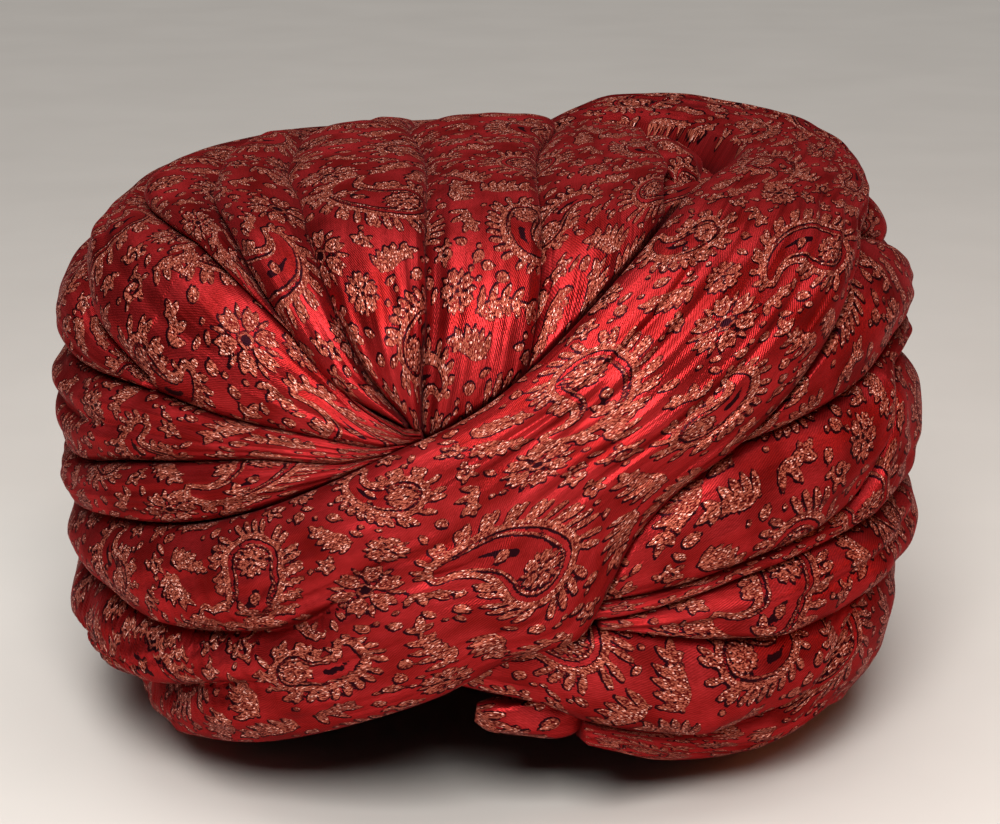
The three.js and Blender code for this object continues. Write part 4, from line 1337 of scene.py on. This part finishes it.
@dataclass(frozen=True)
class BrocadeSatin:
    """Silk satin with supplementary copper lurex and navy silk wefts, as jacquard brocade is woven.

    The eye gets a deep crimson gloss that runs with the folds, from the satin's long dyed floats, and dull
    stippled figures whose stitches shine one by one, from flat metallic thread, and about one stitch in
    twelve has a pale highlight painted into its colour. Lengths are in millimetres of cloth. A stitch of the
    real thread is about half as wide as here, which would be too fine to show.
    """

    name: str = "brocade_crimson_satin_copper_lurex"
    ground: str = "#B82D30"
    ground_deep: str = "#751210"
    between: str = "#5C1514"
    copper: str = "#B8604C"
    copper_dark: str = "#6E2A1C"
    # The pale pink painted into a stitch's colour as a highlight, where it seems to catch the light.
    painted_glint: str = "#FFBEAE"
    navy: str = "#240B12"
    gloss: str = "#B04A40"
    bloom: str = "#FF8A90"
    float_length: float = 0.62
    float_width: float = 0.31
    ragged: float = 0.3
    edge: float = 0.07
    twill_along: float = 4.6
    twill_across: float = 7.4

    def stitches(self, graph: Graph, u: Socket, v: Socket) -> tuple[Socket, Socket]:
        """Gives each copper stitch, a cell of the cloth, two random values of its own.

        Args:
            graph: The material's nodes.
            u, v: Places along and across the cloth.

        Returns:
            The two values, from 0 to 1.
        """
        add = graph.add
        row = add("Math", add("Math", v, self.float_width, operation="DIVIDE"), operation="FLOOR")
        slip = add("TexWhiteNoise", named={"W": row}, noise_dimensions="1D")
        along = add("Math", u, self.float_length, operation="DIVIDE")
        stitch = add("Math", add("Math", slip, 7, along, operation="MULTIPLY_ADD"), operation="FLOOR")
        cell = add("CombineXYZ", row, stitch, 3.7)
        other = add("VectorMath", cell, (17, 31, 5), operation="ADD")
        return tuple(add("TexWhiteNoise", spot, noise_dimensions="3D") for spot in (cell, other))

    def threads(self, graph: Graph, place: Socket, luck: Socket) -> tuple[Socket, Socket, Socket]:
        """Says which thread lies on top.

        Args:
            graph: The material's nodes.
            place: The place on the cloth.
            luck: Each stitch's random value.

        Returns:
            How far the place is in a copper figure, in one of its stitches that shows, and in an outline.
        """
        add = graph.add
        jitter = add("Math", add("Math", luck, 0.5, operation="SUBTRACT"), self.ragged, operation="MULTIPLY")
        copper = add("Attribute", output=2, attribute_name="copper")
        navy = add("Attribute", output=2, attribute_name="navy")
        in_figure = add("MapRange", add("Math", copper, jitter, operation="ADD"), self.edge, -self.edge)
        # Many stitches dive under the ground, fewest at a figure's rim, so the figures look stippled.
        gaps = add("MapRange", copper, -0.3, -1.3, 0.26, 0.5)
        shown = add("MapRange", add("Math", luck, gaps, operation="SUBTRACT"), 0.0, 0.06)
        in_stitch = add("Math", in_figure, shown, operation="MULTIPLY")
        # The outline's thread lies unevenly, and in places it is hardly there.
        worn = add("MapRange", add("TexNoise", place, named={"Scale": 0.4, "Detail": 2.0}), 0.42, 0.62)
        outline = add("Math", jitter, 0.9, navy, operation="MULTIPLY_ADD")
        outline = add("Math", worn, 0.3, outline, operation="MULTIPLY_ADD")
        in_outline = add("MapRange", outline, 0.06, -0.06)
        return in_figure, in_stitch, in_outline

    def twill(self, graph: Graph, place: Socket, u: Socket, v: Socket) -> Socket:
        """Draws the satin's fine diagonal lines, which waver a little.

        Args:
            graph: The material's nodes.
            place: The place on the cloth.
            u, v: Places along and across the cloth.

        Returns:
            The lines' wave, from -1 to 1.
        """
        add = graph.add
        slub = add("TexNoise", place, named={"Scale": 0.35, "Detail": 3.0})
        across = add("Math", v, self.twill_across, operation="MULTIPLY")
        lines = add("Math", u, self.twill_along, across, operation="MULTIPLY_ADD")
        return add("Math", add("Math", slub, 7.0, lines, operation="MULTIPLY_ADD"), operation="SINE")

    def satin(self, graph: Graph, place: Socket, twill: Socket) -> Socket:
        """Colours the ground, with slow shade changes where the cloth was dyed and pressed.

        Args:
            graph: The material's nodes.
            place: The place on the cloth.
            twill: The diagonal lines' wave.

        Returns:
            The ground's colour.
        """
        add = graph.add
        slow = add("TexNoise", place, named={"Scale": 0.05, "Detail": 2.0})
        shade = add("MapRange", add("Math", twill, 0.075, slow, operation="MULTIPLY_ADD"), 0.3, 0.7)
        ground = add("Mix", output=2, data_type="RGBA",
                     named={0: shade, 6: linear(self.ground_deep), 7: linear(self.ground)})
        # Single threads are a little lighter or darker than their neighbours.
        drawn_out = add("VectorMath", place, (0.45, 2.1, 1), operation="MULTIPLY")
        grain = add("TexNoise", drawn_out, named={"Scale": 1.0, "Detail": 2.0})
        dull = add("MapRange", grain, 0.35, 0.75, 0.0, 0.55)
        return add("Mix", output=2, data_type="RGBA", named={0: dull, 6: ground, 7: linear(self.ground_deep)})

    def lurex(self, graph: Graph, luck: Socket) -> Socket:
        """Colours each stitch a random tone from dark to full copper. About one in twelve gets a painted pale
        highlight.

        Args:
            graph: The material's nodes.
            luck: Each stitch's random value.

        Returns:
            The thread's colour.
        """
        add = graph.add
        stitch_tone = add("MapRange", luck, 0.05, 0.75)
        # About one stitch in twelve gets a painted highlight in place of its copper colour.
        painted_glint_share = add("MapRange", luck, 0.9, 0.94)
        thread = add("Mix", output=2, data_type="RGBA",
                     named={0: stitch_tone, 6: linear(self.copper_dark), 7: linear(self.copper)})
        return add("Mix", output=2, data_type="RGBA", named={0: painted_glint_share, 6: thread, 7: linear(self.painted_glint)})

    def relief(self, graph: Graph, place: Socket, v: Socket, in_stitch: Socket, luck: Socket,
               twill: Socket) -> Socket:
        """Raises the stitches, the twill and the long shallow lines that pulled warp threads draw.

        Args:
            graph: The material's nodes.
            place: The place on the cloth.
            v: The place across the cloth.
            in_stitch: How far the place is in a stitch.
            luck: Each stitch's random value.
            twill: The diagonal lines' wave.

        Returns:
            The bumped normal.
        """
        add = graph.add
        wave = add("Math", add("Math", v, math.pi / self.float_width, operation="MULTIPLY"), operation="SINE")
        round_thread = add("Math", add("Math", wave, operation="ABSOLUTE"), 0.3, operation="MULTIPLY")
        stitch = add("Math", luck, 0.5, round_thread, operation="MULTIPLY_ADD")
        height = add("Math", in_stitch, stitch, operation="MULTIPLY")
        along_warp = add("VectorMath", place, (0.035, 0.42, 1), operation="MULTIPLY")
        pulled = add("TexNoise", along_warp, named={"Scale": 1.0, "Detail": 3.0})
        crinkle = add("TexNoise", place, named={"Scale": 0.22, "Detail": 4.0})
        for part, depth in ((twill, 0.16), (pulled, 2.2), (crinkle, 1.6)):
            height = add("Math", part, depth, height, operation="MULTIPLY_ADD")
        return add("Bump", named={"Strength": 0.55, "Distance": 0.00022, "Height": height})

    def make(self) -> bpy.types.Material:
        """Builds the material.

        Returns:
            The material, for pieces with the UV map cloth and the attributes copper and navy.
        """
        material, graph = new_material(self.name)
        add = graph.add
        unit = (UV_UNIT, UV_UNIT, UV_UNIT)
        place = add("VectorMath", add("UVMap", uv_map="cloth"), unit, operation="MULTIPLY")
        u, v, _ = add("SeparateXYZ", place, output=None).outputs
        luck, luck_again = self.stitches(graph, u, v)
        in_figure, in_stitch, in_outline = self.threads(graph, place, luck_again)
        twill = self.twill(graph, place, u, v)
        outside = add("Math", 1.0, in_figure, operation="SUBTRACT")
        colour = self.satin(graph, place, twill)
        for share, over in (
            (in_figure, linear(self.between)),
            (add("Math", in_outline, outside, operation="MULTIPLY"), linear(self.navy)),
            (in_stitch, self.lurex(graph, luck)),
        ):
            colour = add("Mix", output=2, data_type="RGBA", named={0: share, 6: colour, 7: over})
        # Silk's gloss takes the dye's colour, as a metal's does, so the ground is mostly metallic.
        add("OutputMaterial", output=None, named={"Surface": add("BsdfPrincipled", named={
            "Base Color": colour,
            "Metallic": add("MapRange", in_stitch, 0, 1, 0.88, 0.5),
            "Roughness": add("MapRange", in_stitch, 0, 1, 0.43, 0.4),
            "Anisotropic": 0.5,
            "Specular IOR Level": 0.5,
            "Specular Tint": linear(self.gloss),
            "Sheen Weight": 0.03,
            "Sheen Roughness": 0.35,
            "Sheen Tint": linear(self.bloom),
            "Normal": self.relief(graph, place, v, in_stitch, luck, twill),
            "Tangent": add("Tangent", direction_type="UV_MAP", uv_map="cloth"),
        })})
        return material


@dataclass(frozen=True)
class LiningSatin:
    """Plain dull satin, woven fine, of the hidden turns next to the head.

    Pressed and a little worn, it gives the eye slow shade changes and a soft bloom at grazing angles.
    Scales are in cycles for each metre.
    """

    name: str = "lining_dull_crimson_satin"
    light: str = "#6E0C18"
    dark: str = "#42060E"
    bloom: str = "#C04A50"
    shade_scale: float = 60.0
    weave_scale: float = 420.0

    def make(self) -> bpy.types.Material:
        """Builds the material.

        Returns:
            The material, which needs no UV map.
        """
        material, graph = new_material(self.name)
        add = graph.add
        place = add("TexCoord", output="Object")
        soft = add("TexNoise", place, named={"Scale": self.shade_scale, "Detail": 4.0})
        weave = add("TexWave", place, named={"Scale": self.weave_scale, "Distortion": 1.5}, output=1,
                    bands_direction="DIAGONAL")
        shade = add("MapRange", soft, 0.3, 0.7)
        height = add("Math", weave, 0.2, soft, operation="MULTIPLY_ADD")
        add("OutputMaterial", output=None, named={"Surface": add("BsdfPrincipled", named={
            "Base Color": add("Mix", output=2, data_type="RGBA",
                              named={0: shade, 6: linear(self.dark), 7: linear(self.light)}),
            "Roughness": 0.6,
            "Sheen Weight": 0.12,
            "Sheen Roughness": 0.4,
            "Sheen Tint": linear(self.bloom),
            "Normal": add("Bump", named={"Strength": 0.4, "Distance": 0.0004, "Height": height}),
        })})
        return material


@dataclass(frozen=True)
class PaintedTable:
    """Matt pale paint rolled on a smooth board, which gives the eye an almost even soft grey."""

    name: str = "table_matt_pale_paint"
    light: str = "#C9C3BC"
    dark: str = "#C2BCB5"

    def make(self) -> bpy.types.Material:
        """Builds the material.

        Returns:
            The material, with a faint unevenness from the roller.
        """
        material, graph = new_material(self.name)
        add = graph.add
        mottle = add("TexNoise", add("TexCoord", output="Object"), named={"Scale": 9.0, "Detail": 5.0})
        shade = add("MapRange", mottle, 0.2, 0.8)
        colour = add("Mix", output=2, data_type="RGBA",
                     named={0: shade, 6: linear(self.dark), 7: linear(self.light)})
        paint = add("BsdfPrincipled", named={"Base Color": colour, "Roughness": 0.7})
        add("OutputMaterial", output=None, named={"Surface": paint})
        return material


@dataclass
class InnerTurns:
    """The thick wound shell next to the head: a plain shell, and rolls of cloth wound round its hollow.

    Lengths are in millimetres. The rolls' travel is how far they climb from the shell's foot.
    """

    material: bpy.types.Material
    around: int = 132
    outside_rows: int = 40
    hollow_rows: int = 44
    foot_rows: int = 15
    # The folds round the shell meet the table, and the shell ends just above it.
    foot_gap: float = 0.8
    zenith: float = 88.0
    turns: int = 15
    first_turn: float = 8.0
    spacing: float = 10.8
    roll_half: float = 4.2
    roll_half_height: float = 6.2
    roll_flatness: float = 0.66
    dome_travel: float = 78.0
    arch_rise: float = 50.0
    arch_height: float = 115.0
    arch_half_angle: float = 0.5

    def hollow_point(self, dirs: np.ndarray) -> np.ndarray:
        """Gives points on the hollow's wall: a dome above the belly, and upright below it.

        Args:
            dirs: Unit directions.

        Returns:
            The points in millimetres, on the middles of the rolls.
        """
        plan = (np.abs(dirs[..., 0]) ** PLAN_POWER + np.abs(dirs[..., 1]) ** PLAN_POWER) ** (1 / PLAN_POWER)
        high = np.maximum(dirs[..., 2], 0)
        reach = (plan**HOLLOW_POWER + high**HOLLOW_POWER) ** (-1 / HOLLOW_POWER)
        sizes = np.array([HEAD_HALF_WIDTH, HEAD_HALF_DEPTH, HEAD_DOME]) + self.roll_half
        return dirs * sizes * reach[..., None] + np.array([0, 0, BELLY_HEIGHT])

    def rings(self) -> np.ndarray:
        """Lays out the shell: from its lower edge up the outside, then from the dome down the hollow.

        Returns:
            The rings of points, with the outside's first.
        """
        azimuth = np.arange(self.around) * 360 / self.around - 180
        edge = pairs_column(INNER_EDGE, -azimuth)
        level = np.zeros(self.around)
        outside = [
            core_point(direction(azimuth, lerp(edge, self.zenith, t)), level)
            for t in np.linspace(0, 1, self.outside_rows)
        ]
        hollow = [
            self.hollow_point(direction(azimuth, self.zenith * t))
            for t in np.linspace(1, 0, self.hollow_rows)
        ]
        rim, upright = outside[0], hollow[-1]
        # The foot lies level with the outer edge, nearer to the middle.
        foot = upright.copy()
        plan = np.linalg.norm(upright[:, :2], axis=1) / np.linalg.norm(rim[:, :2], axis=1)
        foot[:, 2] = BELLY_HEIGHT + (rim[:, 2] - BELLY_HEIGHT) * plan
        down = [lerp(upright, foot, t) for t in np.linspace(0, 1, self.foot_rows + 1)[1:]]
        rings = np.array(outside + hollow + down)
        rings[..., 2] = np.maximum(rings[..., 2], self.foot_gap)
        return rings

    def shell(self) -> bpy.types.Object:
        """Makes the shell.

        Returns:
            The Blender object.
        """
        rings = self.rings()
        count, around = rings.shape[:2]
        i, k = np.meshgrid(np.arange(count), np.arange(around), indexing="ij")
        a, b = i * around + k, i * around + (k + 1) % around
        c, d = (i + 1) % count * around + (k + 1) % around, (i + 1) % count * around + k
        quads = np.stack([a, b, c, d], -1)
        top, dome = self.outside_rows - 1, self.outside_rows
        quads = np.concatenate([quads[:top], quads[dome:]]).reshape(-1, 4)
        caps = []
        for row, turned in ((top, 1), (dome, -1)):
            for k in range(1, around - 1):
                caps.append((row * around, row * around + k, row * around + k + 1)[::turned])
        turn = np.broadcast_to(np.arange(around) * 720 / around - 360, (count, around))
        uv = np.stack([turn, rings[..., 2]], -1).reshape(-1, 2)
        return piece_of("inner_shell", rings.reshape(-1, 3), quads, caps, uv, self.material)

    def tree(self) -> bpy.types.NodeTree:
        """Builds the node tree that winds rolls round the hollow, with its named inputs.

        Returns:
            The tree, in metres.
        """
        tree = bpy.data.node_groups.new("wound_lining", "GeometryNodeTree")
        tree.interface.new_socket("Geometry", in_out="OUTPUT", socket_type="NodeSocketGeometry")
        for name, value in self.inputs().items():
            kind = {int: "Int", float: "Float"}.get(type(value), "Material")
            tree.interface.new_socket(name, in_out="INPUT", socket_type="NodeSocket" + kind)
        add = Graph(tree).add
        given = add("NodeGroupInput", output=None).outputs

        # Each ring's height, and how much the dome narrows it.
        climb = add("Math", add("GeometryNodeInputIndex"), given["Spacing"], given["First Turn"],
                    operation="MULTIPLY_ADD")
        upright = add("Math", climb, given["Belly Height"], operation="MINIMUM")
        beyond = add("Math", climb, given["Belly Height"], operation="SUBTRACT")
        beyond = add("Math", add("Math", beyond, 0.0, operation="MAXIMUM"), given["Dome Travel"],
                     operation="DIVIDE")
        angle = add("Math", beyond, 1.5, operation="MINIMUM")
        up, shrink = (
            add("Math", add("Math", angle, operation=wave), 2 / HOLLOW_POWER, operation="POWER")
            for wave in ("SINE", "COSINE")
        )
        height = add("Math", up, given["Dome Height"], upright, operation="MULTIPLY_ADD")
        half_width = add("Math", shrink, given["Half Width"], operation="MULTIPLY")
        half_depth = add("Math", shrink, given["Half Depth"], operation="MULTIPLY")
        scale = add("CombineXYZ", half_width, half_depth, 1.0)
        line = add("GeometryNodeMeshLine", named={"Count": given["Turns"], "Offset": (0, 0, 0)})
        line = add("GeometryNodeSetPosition",
                   named={"Geometry": line, "Position": add("CombineXYZ", 0.0, 0.0, height)})
        lean = add("FunctionNodeRandomValue", data_type="FLOAT_VECTOR",
                   named={"Min": (-0.02, -0.02, 0.0), "Max": (0.02, 0.02, 3.1), "Seed": 4})
        lean = add("VectorMath", lean, (1, 1, 0), operation="MULTIPLY")
        ring = add("GeometryNodeCurvePrimitiveCircle", named={"Resolution": 110, "Radius": 1.0})
        rings = add("GeometryNodeInstanceOnPoints",
                    named={"Points": line, "Instance": ring, "Scale": scale, "Rotation": lean})
        rings = add("GeometryNodeRealizeInstances", rings)

        # The rolls rise over the forehead arch, where the inner turns leave the table.
        x, y, z = add("SeparateXYZ", add("GeometryNodeInputPosition"), output=None).outputs
        heading = add("Math", x, add("Math", y, -1.0, operation="MULTIPLY"), operation="ARCTAN2")
        share = add("Math", heading, given["Arch Half Angle"], operation="DIVIDE")
        squared = add("Math", share, 2.0, operation="POWER")
        bell = add("Math", add("Math", squared, -1.0, operation="MULTIPLY"), operation="EXPONENT")
        low = add("Math", z, given["Arch Height"], operation="DIVIDE")
        low = add("Math", add("Math", 1.0, low, operation="SUBTRACT"), 0.0, operation="MAXIMUM")
        rise = add("Math", add("Math", bell, low, operation="MULTIPLY"), given["Arch Rise"],
                   operation="MULTIPLY")
        rings = add("GeometryNodeSetPosition",
                    named={"Geometry": rings, "Offset": add("CombineXYZ", 0.0, 0.0, rise)})

        rings = add("GeometryNodeSetCurveNormal", named={"Curve": rings}, mode="Z_UP")
        profile = add("GeometryNodeCurvePrimitiveCircle",
                      named={"Resolution": 14, "Radius": given["Roll Half Height"]})
        flat = add("CombineXYZ", given["Roll Flatness"], 1.0, 1.0)
        profile = add("GeometryNodeTransform", named={"Geometry": profile, "Scale": flat})
        rolls = add("GeometryNodeCurveToMesh",
                    named={"Curve": rings, "Profile Curve": profile, "Fill Caps": True})
        for step in ("GeometryNodeSetShadeSmooth", "GeometryNodeRealizeInstances"):
            rolls = add(step, named={"Geometry": rolls})
        rolls = add("GeometryNodeSetMaterial", named={"Geometry": rolls, "Material": given["Cloth"]})
        add("NodeGroupOutput", rolls, output=None)
        return tree

    def inputs(self) -> dict[str, int | float | bpy.types.Material]:
        """Names the tree's inputs.

        Returns:
            Each input's value by its name, with lengths in metres.
        """
        return {
            "Turns": self.turns,
            "First Turn": self.first_turn * MM,
            "Spacing": self.spacing * MM,
            "Half Width": (HEAD_HALF_WIDTH + self.roll_half) * MM,
            "Half Depth": (HEAD_HALF_DEPTH + self.roll_half) * MM,
            "Belly Height": BELLY_HEIGHT * MM,
            "Dome Height": (HEAD_DOME + self.roll_half) * MM,
            "Dome Travel": self.dome_travel * MM,
            "Roll Half Height": self.roll_half_height * MM,
            "Roll Flatness": self.roll_flatness,
            "Arch Rise": self.arch_rise * MM,
            "Arch Height": self.arch_height * MM,
            "Arch Half Angle": self.arch_half_angle,
            "Cloth": self.material,
        }

    def lining(self) -> bpy.types.Object:
        """Bakes the rolls from the node tree.

        Returns:
            The Blender object.
        """
        tree, values = self.tree(), self.inputs()
        holder = placed_object("lining_holder", bpy.data.meshes.new("lining_holder"))
        modifier = holder.modifiers.new("wound", "NODES")
        modifier.node_group = tree
        for item in tree.interface.items_tree:
            if item.item_type == "SOCKET" and item.in_out == "INPUT":
                modifier[item.identifier] = values[item.name]
        holder.update_tag()
        evaluated = holder.evaluated_get(bpy.context.evaluated_depsgraph_get())
        mesh = bpy.data.meshes.new_from_object(evaluated)
        bpy.data.objects.remove(holder)
        mesh.name = "wound_lining"
        mesh.transform(Matrix.Translation(Vector(middle() * MM)))
        return placed_object("wound_lining", mesh)


@dataclass
class Rolls:
    """The two small loose ends of cloth: one in the crown's hollow and one under the forehead arch.

    Flatness is a roll's thickness as a share of its width.
    """

    brocade: Brocade
    material: bpy.types.Material
    steps: int = 90
    around: int = 48
    flatness: float = 0.7

    def roll(self, name: str, seed: int) -> bpy.types.Object:
        """Makes one soft roll along its table's rows, rounder in the middle and pinched at its ends.

        Args:
            name: The roll's name.
            seed: The seed of its place in the pattern.

        Returns:
            The Blender object.
        """
        rows, steps, around = ROLL_ROWS[name], self.steps, self.around
        place = np.linspace(0, len(rows) - 1, steps)
        outward = directions_along([row["dir"] for row in rows], place)
        lift, half = (
            smooth(range(len(rows)), [row[key] for row in rows], place) * FOLD_DEPTH
            for key in ("lift", "half")
        )
        centre = hull_point(outward, lift)
        along = normalised(np.gradient(centre, axis=0))
        side = normalised(np.cross(along, outward))
        out = np.cross(side, along)
        angle = np.linspace(0, 2 * math.pi, around, endpoint=False)
        travelled = np.concatenate([[0], np.cumsum(np.linalg.norm(np.diff(centre, axis=0), axis=1))])
        u = np.broadcast_to(travelled[:, None], (steps, around))
        v = np.broadcast_to(angle[None] * half.max(), (steps, around))
        creased = 1 + 0.07 * np.sin(3 * angle + u * 0.21) + 0.05 * np.sin(5 * angle - u * 0.33)
        wide = half[:, None] * creased
        points = (
            centre[:, None] + side[:, None] * (wide * np.cos(angle))[..., None]
            + out[:, None] * (self.flatness * wide * np.sin(angle))[..., None]
        )
        points = np.concatenate([points.reshape(-1, 3), centre[[0, -1]]])
        points[:, 2] = np.maximum(points[:, 2], 0.0)
        i, k = np.meshgrid(np.arange(steps - 1), np.arange(around), indexing="ij")
        a, b = i * around + k, i * around + (k + 1) % around
        quads = np.stack([a, b, b + around, a + around], -1).reshape(-1, 4)
        last = (steps - 1) * around
        caps = [(steps * around, (k + 1) % around, k) for k in range(around)]
        caps += [(steps * around + 1, last + k, last + (k + 1) % around) for k in range(around)]
        shift = np.random.default_rng(seed).uniform(0, 100, 2)
        uv = np.concatenate([np.stack([u + shift[0], v + shift[1]], -1).reshape(-1, 2), np.zeros((2, 2))])
        copper, navy = self.brocade.read(uv[:, 0], uv[:, 1])
        threads = {"copper": copper, "navy": navy}
        return piece_of(name + "_cloth", points, quads, caps, uv, self.material, threads)


@dataclass(frozen=True)
class Lamp:
    """One soft square lamp that faces the turban. Its place and size are in metres."""

    name: str
    place: tuple[float, float, float]
    size: float
    watts: float
    colour: str = "#FFFFFF"


@dataclass
class Studio:
    """The table, the lamps and the camera. Lengths are in metres, the lens in millimetres."""

    target: tuple[float, float, float] = (0.0037, 0.0036, 0.0897)
    elevation: float = 15.2
    distance: float = 0.8
    lens: float = 90.3
    table_half: float = 4.0
    table_gap: float = 0.0003
    lamps: tuple[Lamp, ...] = (
        Lamp("key_lamp", (-0.04, -0.98, 0.88), 0.5, 21.0),
        Lamp("warm_lamp", (1.15, -0.1, 0.5), 0.4, 1.6, "#FF9A60"),
    )
    ceiling: float = 2.0
    ceiling_angle: float = 50.0
    ceiling_heading: tuple[float, float, float] = (0.05, 0.12, -1.0)
    sky: str = "#F2EEE8"
    sky_strength: float = 0.05

    def table(self) -> None:
        """Makes a plain pale table top, a hair under the turban."""
        half, z = self.table_half, -self.table_gap
        corners = [(-half, -half, z), (half, -half, z), (half, half, z), (-half, half, z)]
        mesh = bpy.data.meshes.new("table")
        mesh.from_pydata(corners, [], [(0, 1, 2, 3)])
        mesh.materials.append(PaintedTable().make())
        placed_object("table", mesh)

    def aim(self, piece: bpy.types.Object, place: tuple[float, float, float] | Vector) -> None:
        """Puts a lamp or the camera at its place and turns it to the turban.

        Args:
            piece: The lamp or the camera.
            place: Its place.
        """
        piece.location = place
        piece.rotation_euler = (Vector(self.target) - piece.location).to_track_quat("-Z", "Y").to_euler()

    def camera(self) -> None:
        """Makes the camera, at the photograph's angle."""
        rise = math.radians(self.elevation)
        data = bpy.data.cameras.new("camera")
        data.lens, data.sensor_width = self.lens, 36
        camera = placed_object("camera", data)
        heading = Vector((0, -math.cos(rise), math.sin(rise)))
        self.aim(camera, Vector(self.target) + self.distance * heading)
        bpy.context.scene.camera = camera

    def light(self) -> None:
        """Hangs the lamps: two soft squares, a wide ceiling light and a dim even sky."""
        for lamp in self.lamps:
            data = bpy.data.lights.new(lamp.name, "AREA")
            data.size, data.energy, data.color = lamp.size, lamp.watts, linear(lamp.colour)[:3]
            self.aim(placed_object(lamp.name, data), lamp.place)
        data = bpy.data.lights.new("ceiling_lamp", "SUN")
        data.energy, data.angle = self.ceiling, math.radians(self.ceiling_angle)
        ceiling = placed_object("ceiling_lamp", data)
        ceiling.rotation_euler = Vector(self.ceiling_heading).to_track_quat("-Z", "Y").to_euler()
        world = bpy.data.worlds.new("studio")
        world.use_nodes = True
        background = world.node_tree.nodes["Background"]
        background.inputs["Color"].default_value = linear(self.sky)
        background.inputs["Strength"].default_value = self.sky_strength
        bpy.context.scene.world = world
        bpy.context.scene.view_settings.view_transform = "Standard"


# Each fold's cloth. The deep folds are those that the front shows.
CLOTHS = {
    "cross_band": Cloth(1, Creases(21, 15, 1.6, 3.4), 1.0, 0, 0.95),
    "crown_roll": Cloth(2, Creases(22, 2, 1.0), 0.5, 8),
    "upper_shoulder_turn": Cloth(3, Creases(23, 5, 1.4), 0.8, -6),
    "lower_shoulder_turn": Cloth(4, Creases(24, 5, 1.3), 0.8, 4),
    "upper_side_turn": Cloth(
        5, Creases(25, 8, 1.5, folds=(LongFold(0.12, 0.14, 0.5, 0.6, 2.6, 2.4),)), 0.8, 0,
    ),
    "lower_side_turn": Cloth(
        6, Creases(26, 7, 1.3, folds=(LongFold(0.1, 0.12, 0.45, -0.5, 2.2, 2.2),)), 0.7, 6,
    ),
    "middle_right_turn": Cloth(
        7, Creases(27, 5, 1.2, folds=(LongFold(0.82, 0.16, 0.55, -0.3, 2.4, 2.4),)), 0.8, -5,
    ),
    "arch_right_turn": Cloth(8, Creases(28, 3, 1.2), 0.8, 0),
    "lowest_right_turn": Cloth(
        9, Creases(29, 5, 1.5, folds=(LongFold(0.74, 0.24, 0.4, 0.5, 4.2, 2.6),)), 0.9, 5, 0.95,
    ),
    "crown_pleat_1": Cloth(10, Creases(30, 3, 0.8), 0.5, 0),
    "crown_pleat_2": Cloth(11, Creases(31, 2, 0.7), 0.5, 0),
    "crown_pleat_3": Cloth(12, Creases(32, 2, 0.7), 0.5, 0),
    "crown_pleat_4": Cloth(13, Creases(33, 2, 0.7), 0.5, 0),
    "crown_pleat_5": Cloth(14, Creases(34, 3, 0.8), 0.6, 0),
}
ROLL_SEEDS = {"hollow_tuck": 41, "tail_end": 42}


class Slot(Enum):
    """Material slots."""

    BROCADE = "brocade"
    INNER_CLOTH = "inner_cloth"


def declare(piece: bpy.types.Object, node: str, slot: Slot) -> None:
    """Hangs a piece on the root body, hides the imported part that it stands for and logs its triangles.

    Args:
        piece: The piece.
        node: The node that it stands for.
        slot: Not used.
    """
    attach(piece, "root")
    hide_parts(node)
    triangles = sum(len(polygon.vertices) - 2 for polygon in piece.data.polygons)
    log.info("%s: %d triangles", piece.name, triangles)


def main() -> None:
    """Builds the turban's pieces in the order that they lie over each other, then the studio."""
    logging.basicConfig(level=logging.INFO, format="%(message)s")
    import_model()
    studio = Studio()
    studio.camera()
    satin, lining = BrocadeSatin().make(), LiningSatin().make()
    brocade, band = Brocade(), Band()
    weaver = Weaver(brocade, Cover(band), satin)
    for fold in [band, *TURNS, *PLEATS]:
        declare(weaver.fold(fold, CLOTHS[fold.name]), fold.name, Slot.BROCADE)
    rolls = Rolls(brocade, satin)
    for name, seed in ROLL_SEEDS.items():
        declare(rolls.roll(name, seed), name, Slot.BROCADE)
    inner = InnerTurns(lining)
    declare(inner.shell(), "inner_turns", Slot.INNER_CLOTH)
    declare(inner.lining(), "inner_turns", Slot.INNER_CLOTH)
    studio.table()
    studio.light()


if __name__ == "__main__":
    main()
